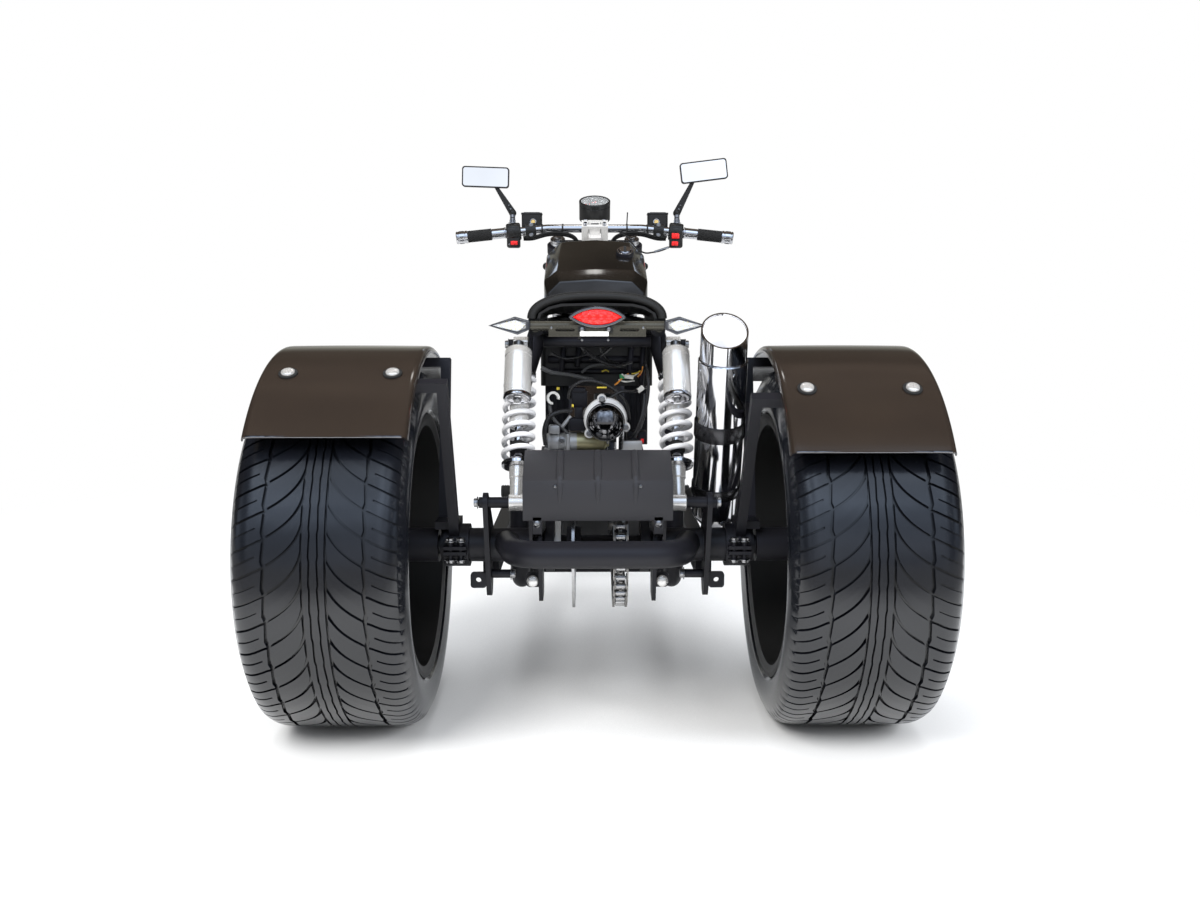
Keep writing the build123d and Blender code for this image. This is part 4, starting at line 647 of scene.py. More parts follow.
@dataclass
class Studio(Assembly):
    """Pale floor, soft lamps and the camera of the photograph."""

    camera_at: Point = (-13.2, -1993.4, 778.9)
    pitch: float = -7.72
    yaw: float = -0.52
    lens: float = 32.52
    floor_half: float = 30.0

    def build(self) -> None:
        """Make the floor, the sky, the lamps and the camera."""
        self._floor()
        self._sky()
        for name, place, aim, size, power, tint in (
                ("key", (-1.5, -3.0, 2.6), (0, -0.3, 0.5), 1.6, 165, (1.0, 0.99, 0.97)),
                ("fill", (2.4, -2.6, 1.7), (0, -0.4, 0.5), 1.4, 105, (0.95, 0.97, 1.0)),
                ("strip", (0.0, 0.58, 3.2), (0, -0.2, 0.85), 0.34, 1.6, (1.0, 0.98, 0.95)),
                ("top", (0.0, 0.1, 3.2), (0, -0.2, 0.0), 2.4, 62, (0.94, 0.97, 1.0))):
            data = bpy.data.lights.new(name, "AREA")
            data.energy, data.size, data.color = power, size, tint
            lamp = bpy.data.objects.new(name, data)
            lamp.location = place
            lamp.rotation_euler = (Vector(aim) - Vector(place)).to_track_quat("-Z", "Y").to_euler()
            lamp.visible_glossy = name == "strip"
            bpy.context.scene.collection.objects.link(lamp)
        data = bpy.data.cameras.new("camera")
        data.lens, data.sensor_width, data.sensor_fit = self.lens, 36.0, "HORIZONTAL"
        camera = bpy.data.objects.new("camera", data)
        camera.location = self.at(*self.camera_at)
        camera.rotation_euler = (radians(90 + self.pitch), 0, radians(self.yaw))
        bpy.context.scene.collection.objects.link(camera)
        bpy.context.scene.camera = camera
        bpy.context.scene.view_settings.view_transform = "Standard"

    def _floor(self) -> None:
        """White floor that keeps the lamps' soft shadows near the wheels, deepens them with painted shade
        from ambient occlusion, and runs out into the backdrop.
        """
        form = Form()
        bmesh.ops.create_grid(form.mesh, x_segments=1, y_segments=1, size=self.floor_half)
        data = bpy.data.meshes.new("floor")
        form.mesh.to_mesh(data)
        form.mesh.free()
        floor = bpy.data.objects.new("floor", data)
        bpy.context.scene.collection.objects.link(floor)
        paper = bpy.data.materials.new("floor_paper")
        wiring = Wiring(paper)
        seen = wiring.add("LightPath").outputs["Is Camera Ray"]
        # the camera's lift of the floor to white is scaled down by ambient occlusion: painted shade round the
        # wheels' feet and under the scooter
        shade = wiring.add("AmbientOcclusion", {"Distance": 0.55}, samples=12).outputs["AO"]
        lift = wiring.math("MULTIPLY", wiring.math("MULTIPLY", seen, 0.36), wiring.math("POWER", shade, 1.7))
        shader = wiring.nodes["Principled BSDF"]
        wiring.feed(shader, {"Base Color": (0.62, 0.62, 0.62, 1), "Roughness": 0.8, "Specular IOR Level": 0.1,
            "Emission Color": (1, 1, 1, 1), "Emission Strength": lift})
        glow = wiring.add("MapRange", {"Value": seen, "To Min": 0.4}).outputs["Result"]
        far = wiring.add("Emission", {"Strength": glow})
        length = wiring.add("VectorMath", {0: wiring.add("TexCoord").outputs["Object"]}, operation="LENGTH")
        ramp = wiring.add("MapRange", {"Value": length.outputs["Value"], "From Min": 1.5, "From Max": 2.6},
            interpolation_type="SMOOTHSTEP")
        both = wiring.add("MixShader", {"Fac": ramp.outputs["Result"], 1: shader.outputs[0],
            2: far.outputs[0]})
        wiring.feed(wiring.nodes["Material Output"], {"Surface": both.outputs[0]})
        data.materials.append(paper)

    def _sky(self) -> None:
        """White backdrop for the eye, and soft bands of light and shade for the gloss."""
        world = bpy.data.worlds.new("sky")
        bpy.context.scene.world = world
        wiring = Wiring(world)
        place = wiring.add("TexCoord").outputs["Generated"]
        split = wiring.add("SeparateXYZ", {"Vector": place}).outputs
        # half turns from the rear horizon over the zenith to the front one, and the share aside
        half = wiring.math("DIVIDE",
            wiring.math("ARCTAN2", split["Z"], wiring.math("MULTIPLY", split["Y"], -1.0)), pi)
        ramp = self._bands(wiring, half, ((0.0, (0.50, 0.54, 0.62)), (0.10, (0.52, 0.60, 0.74)),
            (0.20, (1.15, 1.4, 1.8)), (0.32, (1.2, 1.4, 1.7)), (0.38, (0.18, 0.15, 0.12)),
            (0.46, (0.12, 0.093, 0.07)), (0.70, (0.14, 0.108, 0.084)), (0.76, (0.05, 0.04, 0.03)),
            (0.86, (0.06, 0.05, 0.04)), (0.93, (0.34, 0.34, 0.30)), (1.0, (0.8, 0.8, 0.78))))
        side = self._bands(wiring, wiring.math("ABSOLUTE", split["X"]),
            [(share, (grey, grey, grey)) for share, grey in ((0.0, 1.0), (0.45, 1.0), (0.62, 0.22),
            (0.8, 0.14), (0.9, 0.5), (1.0, 0.3))])
        both = wiring.add("Mix", {"Factor": 1.0, "A": ramp, "B": side}, data_type="RGBA",
            blend_type="MULTIPLY")
        cloud = wiring.add("TexNoise", {"Vector": place, "Scale": 4.0, "Detail": 5.0}).outputs["Fac"]
        veil = wiring.add("MapRange", {"Value": cloud, "From Min": 0.35, "From Max": 0.65, "To Min": 0.45,
            "To Max": 1.25})
        gloss = wiring.add("Background",
            {"Color": both.outputs["Result"], "Strength": veil.outputs["Result"]})
        lit, seen = wiring.nodes["Background"], wiring.add("Background", {"Color": (1, 1, 1, 1)})
        wiring.feed(lit, {"Color": (0.93, 0.96, 1.0, 1), "Strength": 0.7})
        path = wiring.add("LightPath").outputs
        mixed = wiring.add("MixShader", {"Fac": path["Is Glossy Ray"], 1: lit.outputs[0],
            2: gloss.outputs[0]})
        eye = wiring.math("MAXIMUM", path["Is Camera Ray"], path["Is Transmission Ray"])
        final = wiring.add("MixShader", {"Fac": eye, 1: mixed.outputs[0], 2: seen.outputs[0]})
        wiring.feed(wiring.nodes["World Output"], {"Surface": final.outputs[0]})

    def _bands(self, wiring: Wiring, share: bpy.types.NodeSocket,
            stops: Sequence[tuple[float, Colour]]) -> bpy.types.NodeSocket:
        """Colours read off a ramp.

        Args:
            wiring: The sky's nodes.
            share: Place on the ramp.
            stops: Pairs of position and colour.

        Returns:
            The colour.
        """
        ramp = wiring.add("ValToRGB", {"Fac": share})
        table = ramp.color_ramp.elements
        for index, (position, colour) in enumerate(stops):
            stop = table[index] if index < len(table) else table.new(position)
            stop.position, stop.color = position, (*colour, 1)
        return ramp.outputs["Color"]


@dataclass
class RoadTyre:
    """Directional road tyre: long curved grooves, a slanted shoulder groove and short shoulder cuts."""

    radius: float
    width: float
    seat: float
    bead: float
    lip: float
    pitches: int
    groove: float = 4.2
    depth: float = 6.5
    sweep: float = 118.0
    start: float = 0.15

    def columns(self) -> list[tuple[float, float]]:
        """Positions across half of the tread, from 0 in the middle to 1 at the shoulder.

        Returns:
            Pairs of the position and the depth of the groove that runs round the wheel there.
        """
        ribs = [(0.0, 0), (0.042, 0), (0.047, 1), (0.062, 1), (0.067, 0), (0.132, 0), (0.137, 1), (0.152, 1),
            (0.158, 1), (0.163, 0)]
        leaf = [(u, 0) for u in (0.175, 0.19, 0.21, 0.235, 0.265, 0.30, 0.34, 0.38, 0.43, 0.48, 0.53, 0.575)]
        shoulder = [(0.60, 0), (0.606, 1), (0.642, 1), (0.648, 0)]
        blocks = [(u, 0) for u in (0.68, 0.715, 0.72, 0.76, 0.80, 0.85, 0.90, 0.95, 1.0, 1.05, 1.09)]
        return ribs + leaf + shoulder + blocks

    def shear(self, across: float) -> float:
        """How far back a groove has swept at a position across, in millimetres."""
        reach = max(min(across, 1.1) - self.start, 0.0) / (1 - self.start)
        return self.sweep * reach ** 0.35

    def rows(self, across: float) -> list[tuple[float, float, float]]:
        """Lines of one pitch at a position across the tread.

        Args:
            across: Position from 0 to 1.

        Returns:
            Triples of the share of the pitch, the depth of the long groove and of the short cut there.
        """
        pitch = 2 * pi * self.radius / self.pitches
        step = 0.01
        slope = (self.shear(across + step) - self.shear(across)) / (step * self.width * 0.45)
        wide = min(self.groove * hypot(1, slope) / pitch, 0.42)
        rest = 1 - wide
        lines = [(0.0, 0, 0), (wide * 0.16, 1, 0), (wide * 0.84, 1, 0), (wide, 0, 0)]
        cuts = [(0.22, 0), (0.44, 0), (0.46, 1), (0.51, 1), (0.53, 0), (0.78, 0)]
        return lines + [(wide + rest * share, 0, cut) for share, cut in cuts]

    def surface(self, across: float) -> tuple[float, float]:
        """Outer surface at a position across, as (offset from the middle, radius)."""
        edge = max(across - 0.78, 0.0) / 0.32
        offset = self.width * 0.5 * (0.90 * min(across, 1.0) + 0.5 * max(across - 1.0, 0.0))
        return offset, self.radius - 2.5 * across ** 2 - 21 * edge ** 2.2

    def wall(self) -> list[tuple[float, float]]:
        """Side wall and the inside, from the shoulder to the middle of the bore."""
        half = self.width / 2
        low = self.seat + self.lip
        deep = self.radius - low
        return [(half * 0.975, self.radius - deep * 0.36), (half * 0.995, self.radius - deep * 0.46),
            (half, self.radius - deep * 0.56), (half * 0.992, self.radius - deep * 0.68),
            (half * 0.972, low + 13), (half * 0.965, low + 9), (half * 0.955, low + 6),
            (self.bead + 2, low + 1.5), (self.bead, low - 2), (self.bead, self.seat + 0.5),
            (self.bead - 9, self.seat + 0.5), (self.bead - 12, low + 8), (self.bead * 0.86, self.radius - 26),
            (self.bead * 0.5, self.radius - 15), (0.0, self.radius - 13)]

    def build(self, name: str, middle: Vector, body: str, replaces: str, turn: int = 1) -> None:
        """Make the tyre.

        Args:
            name: The piece's name.
            middle: Middle of the wheel.
            body: Body that it rides on.
            replaces: Node that it stands for.
            turn: 1 where the grooves sweep one way round the wheel, or -1 for the other.
        """
        half = self.columns()
        walls = self.wall()
        count = 2 * (len(half) + len(walls)) - 2
        lines = len(self.rows(0.5))
        form = Form()
        bmesh.ops.create_grid(form.mesh, x_segments=count, y_segments=lines * self.pitches, size=0.5)
        pitch = 2 * pi / self.pitches
        for vert in form.mesh.verts:
            column = round((vert.co.x + 0.5) * count) - count // 2
            row = round((vert.co.y + 0.5) * lines * self.pitches)
            side = -1 if column < 0 else 1
            index = abs(column)
            number, line = divmod(row, lines)
            across, ring = half[min(index, len(half) - 1)]
            share, long_cut, short_cut = self.rows(across)[line]
            back = self.shear(across) / self.radius
            if index < len(half):
                fade = min(max((1.09 - across) / 0.12, 0.0), 1.0)
                swept = long_cut * fade if across > 0.16 else 0.0
                sipe = short_cut * 0.5 * fade if across > 0.717 else 0.0
                sink = self.depth * max(ring, swept, sipe)
                slant = 0.030 * (share - 0.5) if 0.59 < across < 0.66 else 0.0
                slant += 0.014 * (share - 0.5) if 0.04 < across < 0.07 else 0.0
                offset, radius = self.surface(across + slant)
            else:
                sink = 0.0
                offset, radius = walls[index - len(half)]
            angle = turn * ((number + share) * pitch + back)
            reach = (radius - sink) * MM
            vert.co = middle + Vector((side * offset * MM, -reach * cos(angle), reach * sin(angle)))
        form.weld()
        form.piece(name, FINISH.tyre, "tyre", replaces, body=body, crease=38)


@dataclass
class Wheels(Assembly):
    """The three wheels with their tyres, and the nuts of the rear hubs."""

    rear_x: float = 449.6
    rear: RoadTyre = field(default_factory=lambda: RoadTyre(AXLE_HIGH, 285, 228.6, 127.2, 16, 46))
    front: RoadTyre = field(default_factory=lambda: RoadTyre(307, 130, 190.5, 42.2, 16, 52, 2.6, 5.0, 70.0))

    def build(self) -> None:
        """Make the tyres and dress the rims, the axle and the discs."""
        height = self.rear.radius
        for side, name in ((-1, "rear_tyre_left"), (1, "rear_tyre_right")):
            self.rear.build(name, self.at(side * self.rear_x, 0, height), "rear_axle", "rear_tyres", -1)
        self.front.build("front_tyre_road", self.frame.joints["front_wheel_spin"], "front_wheel",
            "front_tyre")
        self.frame.dress(FINISH.rim_black, "rear_rims", "front_rim")
        self.frame.dress(FINISH.frame_black, "axle_shaft")
        self.frame.dress(FINISH.steel, "rear_brake_disc")
        self.frame.dress(FINISH.chain_steel, "rear_sprocket")
        nuts = Form()
        for side in (-1, 1):
            face = self.at(side * 569.5, 0, height)
            nuts.bolt(face, Vector((side, 0, 0)), 21, 14)
            for index in range(5):
                turn = radians(72 * index + 18)
                spot = Vector((0, cos(turn), sin(turn))) * 44 * MM
                nuts.bolt(self.at(side * 568.3, 0, height) + spot, Vector((side, 0, 0)), 9, 8)
        nuts.piece("wheel_nuts", FINISH.chrome, "polished_alloy", body="rear_axle")


@dataclass
class Fenders(Assembly):
    """Gloss fenders over the rear tyres, with rolled edges, and their domed bolts."""

    radius: float = 372.0
    thick: float = 4.0
    inner_x: float = 303.0
    outer_x: float = 570.0
    drop: float = 14.0
    front_angle: float = 128.0
    bolt_x: tuple[float, float] = (345.0, 520.0)
    # side, angle of the rear edge and angle of the rear bracket arm
    sides: tuple[tuple[int, float, float], ...] = ((-1, 40.0, 63.0), (1, 35.5, 56.0))

    def profile(self) -> list[tuple[float, float]]:
        """Closed section across a fender, as (offset from its middle, radius)."""
        half = (self.outer_x - self.inner_x) / 2
        crown = [(half * share, self.radius - 1.2 * share ** 2) for share in (0, 0.25, 0.5, 0.75, 0.9)]
        turn = [(half - 10 + 9.2 * sin(radians(a)), self.radius - 11.2 + 10 * cos(radians(a)))
            for a in (15, 35, 55, 75, 90)]
        lip = [(half - 0.4, self.radius - self.drop + 0.6), (half - 1.6, self.radius - self.drop),
            (half - 3.2, self.radius - self.drop + 0.8), (half - 4.2, self.radius - 9),
            (half - 8, self.radius - self.thick - 1.6), (half - 16, self.radius - self.thick),
            (0, self.radius - self.thick)]
        right = crown + turn + lip
        left = [(-offset, radius) for offset, radius in reversed(right[1:-1])]
        return right + left

    def over_wheel(self, x: float, radius: float, angle: float) -> Vector:
        """Point over a rear wheel; the angle rises from the rear horizontal."""
        turn = radians(angle)
        return self.at(x, -radius * cos(turn), AXLE_HIGH + radius * sin(turn))

    def build(self) -> None:
        """Make both fenders with their bolts and dress the brackets."""
        bolts, washers, beads = Form(), Form(), Form()
        for side, rear_angle, arm_angle in self.sides:
            form = Form()
            wide = self.outer_x - self.inner_x - 20
            spots = [self.over_wheel(side * (self.inner_x + 10 + wide * step / 8), self.radius - 2.6,
                rear_angle + 0.25) for step in range(9)]
            for here, after in zip(spots, spots[1:]):
                beads.rod(here, after, 2.4, 0.2, 12)
            arc = self.front_angle - rear_angle
            middle = side * (self.inner_x + self.outer_x) / 2
            section, edges = form.ring((offset * MM, 0, radius * MM) for offset, radius in self.profile())
            made = bmesh.ops.spin(form.mesh, geom=section + edges, cent=(0, 0, 0), axis=(-1, 0, 0),
                angle=radians(arc), steps=72, use_merge=False, use_duplicate=False)
            form.cap(edges, form.edges_of(made["geom_last"]))
            turn = Matrix.Rotation(radians(90 - rear_angle), 4, "X")
            form.settle(section, self.at(middle, 0, AXLE_HIGH), turn)
            name = "fender_left" if side < 0 else "fender_right"
            form.piece(name, FINISH.fender_gloss, "body_gloss", "rear_fenders", crease=50)
            for x in self.bolt_x:
                for angle in (arm_angle, 106.0):
                    foot = self.over_wheel(side * x, self.radius, angle)
                    out = (foot - self.over_wheel(side * x, 0, angle)).normalized()
                    washers.rod(foot - out * MM, foot + out * 2.4 * MM, 16, 0.8, 32)
                    bolts.dome(foot + out * 2.2 * MM, out, 11.5, 6)
        bolts.piece("fender_bolts", FINISH.satin_alloy, "chrome")
        washers.piece("fender_washers", FINISH.rubber, "rubber_black")
        beads.piece("fender_beads", FINISH.smoked, "body_gloss")
        self.frame.dress(FINISH.frame_black, "fender_brackets")


@dataclass
class Suspension(Assembly):
    """Rear shocks: white springs, chrome spring seats, dampers and polished reservoirs."""

    x: float = 146.0
    low: tuple[float, float] = (-65.0, 422.0)
    top: tuple[float, float] = (100.0, 700.0)
    spring_r: float = 26.5
    wire_r: float = 5.0
    turns: int = 7
    spring_low: float = 82.0
    spring_high: float = 246.0
    reservoir_r: float = 25.5
    reservoir_back: float = 60.0

    def place(self, side: int, along: float) -> Vector:
        """Point on a shock's centre line, measured up from its lower bolt."""
        low, top = self.at(side * self.x, *self.low), self.at(side * self.x, *self.top)
        return low + (top - low).normalized() * along * MM

    def build(self) -> None:
        """Make both shocks."""
        springs, alloy, chrome, dark, steel = Form(), Form(), Form(), Form(), Form()
        for side in (-1, 1):
            foot = self.place(side, 0)
            axis = (self.place(side, 1) - foot).normalized()
            back = axis.cross(RIGHT).normalized()
            if back.y > 0:
                back = -back
            self._spring(springs, side, axis)
            ring = self.spring_low - 12
            alloy.lathe([(8, 0), (8, 11), (14, 13), (44, 13), (47, 15), (ring - 3, 15.5), (ring - 2, 0)],
                foot, axis, 40)
            chrome.lathe([(ring - 2, 0), (ring - 2, 21), (ring, 29.4), (ring + 5, 30), (ring + 6.5, 29.2),
                (ring + 7, 21), (ring + 12, 19.5), (ring + 16, 14), (ring + 16, 0)], foot, axis, 56)
            chrome.lathe([(90, 0), (90, 8.2), (176, 8.2), (176, 0)], foot, axis, 32)
            alloy.lathe([(150, 0), (150, 15), (153, 18), (244, 18), (245, 17), (245, 0)], foot, axis, 40)
            dark.lathe([(96, 0), (96, 13), (100, 16), (112, 16), (118, 12), (118, 0)], foot, axis, 32)
            cap = self.spring_high + self.wire_r + 0.4
            chrome.lathe([(cap, 0), (cap, 28.8), (cap + 1.5, 30), (cap + 9, 30), (cap + 11, 28),
                (cap + 12, 21), (cap + 34, 17), (cap + 52, 15.5), (cap + 60, 12), (cap + 60, 0)], foot, axis,
                56)
            self._reservoir(alloy, chrome, steel, side, axis, back)
            for end in (self.low, self.top):
                eye = self.at(side * self.x, *end)
                alloy.pipe(eye - RIGHT * 14 * MM, eye + RIGHT * 14 * MM, 15, 10.5, 40)
                dark.pipe(eye - RIGHT * 13.4 * MM, eye + RIGHT * 13.4 * MM, 10.6, 6.4, 32)
                out = RIGHT * side
                steel.bolt(eye + out * (23.2 if end is self.top else 70) * MM, out, 8.5, 6)
        springs.piece("spring_coils", FINISH.spring_white, "spring_white", "shock_springs")
        alloy.piece("damper_alloy", FINISH.satin_alloy, "polished_alloy", "shock_bodies")
        chrome.piece("spring_seats", FINISH.chrome, "chrome", "shock_bodies")
        dark.piece("bump_stops", FINISH.rubber, "frame_black", "shock_bodies")
        steel.piece("shock_bolts", FINISH.steel, "chain_steel")

    def _spring(self, form: Form, side: int, axis: Vector) -> None:
        """Wind one spring with a screw spin.

        Args:
            form: The form that takes it.
            side: -1 for the left one, 1 for the right one.
            axis: Direction of the spring.
        """
        steps = self.turns * 30
        height = self.spring_high - self.spring_low
        ring = bmesh.ops.create_circle(form.mesh, segments=12, radius=self.wire_r * MM,
            cap_ends=True)["verts"]
        bmesh.ops.rotate(form.mesh, verts=ring, cent=(0, 0, 0), matrix=Matrix.Rotation(pi / 2, 3, "X"))
        bmesh.ops.translate(form.mesh, verts=ring, vec=(self.spring_r * MM, 0, 0))
        faces = list({face for vert in ring for face in vert.link_faces})
        edges = form.around(ring)
        bmesh.ops.delete(form.mesh, geom=faces, context="FACES_ONLY")
        made = bmesh.ops.spin(form.mesh, geom=ring + edges, cent=(0, 0, 0), axis=(0, 0, 1),
            dvec=(0, 0, height / steps * MM), angle=2 * pi * self.turns, steps=steps, use_merge=False,
            use_duplicate=False)
        form.cap(edges, form.edges_of(made["geom_last"]))
        form.settle(ring, self.place(side, self.spring_low), form.turned(axis))

    def _reservoir(self, alloy: Form, chrome: Form, steel: Form, side: int, axis: Vector,
            back: Vector) -> None:
        """Reservoir behind one shock, with its caps and bridge.

        Args:
            alloy: Takes the body.
            chrome: Takes the caps.
            steel: Takes the screw and the valve.
            side: -1 for the left one, 1 for the right one.
            axis: Direction of the shock.
            back: Direction from the shock to the reservoir.
        """
        shift = back * self.reservoir_back * MM
        r = self.reservoir_r
        foot = self.place(side, 178) + shift
        alloy.lathe([(7, 0), (7, r - 1), (9, r - 0.4), (82, r - 0.4), (83, r - 2), (85, r - 2), (86, r - 0.3),
            (96, r - 0.3), (100, r - 2.5), (103, r - 7), (104, 10), (104, 0)], foot, axis, 56)
        chrome.lathe([(0, 0), (0, 10), (1.2, 11), (1.2, 19), (0.2, 20), (0.2, r - 2.5), (1.5, r - 0.2),
            (6, r), (7.4, r - 0.4), (7.4, 0)], foot, axis, 56)
        steel.bolt(foot + axis * MM, -axis, 7.5, 5)
        steel.bolt(foot + axis * 103 * MM, axis, 10.5, 13)
        alloy.rod(self.place(side, 284), self.place(side, 284) + shift, 11, 1.5, 28)


@dataclass
class Exhaust(Assembly):
    """Upright chrome muffler with its straps, its flange and its slanted tip."""

    x: float = 230.0
    radius: float = 46.0
    low: tuple[float, float] = (95.0, 352.0)
    lean: float = 18.0
    length: float = 342.0

    def build(self) -> None:
        """Make the muffler and dress the pipe."""
        lean = radians(self.lean)
        axis = Vector((0, -sin(lean), cos(lean)))
        foot = self.at(self.x, *self.low)
        r = self.radius
        can = self.length
        end = max((vert.co - foot).dot(axis) for vert in self.frame.nodes["muffler"].data.vertices) / MM - 1.0
        body, straps = Form(), Form()
        body.lathe([(0, 0), (0, 24), (4, 30), (18, r - 4), (26, r - 0.6), (30, r - 0.4), (can - 10, r - 0.4),
            (can - 6, r), (can - 2, r), (can, r - 1.5), (can, r - 5), (can + 11, r - 5), (can + 11, 0)], foot,
            axis, 96)
        for low, high in ((70, 90), (190, 221)):
            straps.lathe([(low, r - 0.6), (low, r + 1.4), (low + 1, r + 1.9), (high - 1, r + 1.9),
                (high, r + 1.4), (high, r - 0.6)], foot, axis, 96, closed=True)
        straps.piece("muffler_straps", FINISH.strap, "chrome", "muffler")
        for turn in (-70, 20, 110, 200):
            out = Vector((sin(radians(turn)), -cos(radians(turn)), 0))
            out = (out - axis * out.dot(axis)).normalized()
            body.dome(foot + axis * (can - 16) * MM + out * (r - 0.6) * MM, out, 3.2, 1.8, 16)
        body.piece("muffler_can", FINISH.chrome, "chrome", "muffler")
        tip, liner = Form(), Form()
        tip.lathe([(can + 2, r - 3), (end + 2, r - 3), (end + 2, r - 6), (can + 2, r - 6)], foot, axis, 96,
            closed=True)
        liner.lathe([(can + 3, r - 9), (end + 2, r - 9), (end + 2, r - 6.6), (can + 3, r - 6.6)], foot, axis,
            72, closed=True)
        self._slash(tip, foot + axis * (can + 55) * MM)
        self._slash(liner, foot + axis * (can + 52) * MM)
        tip.piece("muffler_tip", FINISH.chrome, "chrome", "muffler")
        liner.piece("muffler_liner", FINISH.liner, "polished_alloy", "muffler")
        self.frame.dress(FINISH.pipe_black, "exhaust_pipe")

    def _slash(self, form: Form, middle: Vector) -> None:
        """Cut a tube's top on a slant that faces rearwards.

        Args:
            form: The form that holds the tube.
            middle: Point in the cut.
        """
        normal = Vector((0, -0.91, 1)).normalized()
        geometry = form.mesh.verts[:] + form.mesh.edges[:] + form.mesh.faces[:]
        cut = bmesh.ops.bisect_plane(form.mesh, geom=geometry, plane_co=middle, plane_no=normal,
            clear_outer=True)
        bmesh.ops.bridge_loops(form.mesh, edges=form.edges_of(cut["geom_cut"]))
        bmesh.ops.recalc_face_normals(form.mesh, faces=form.mesh.faces)


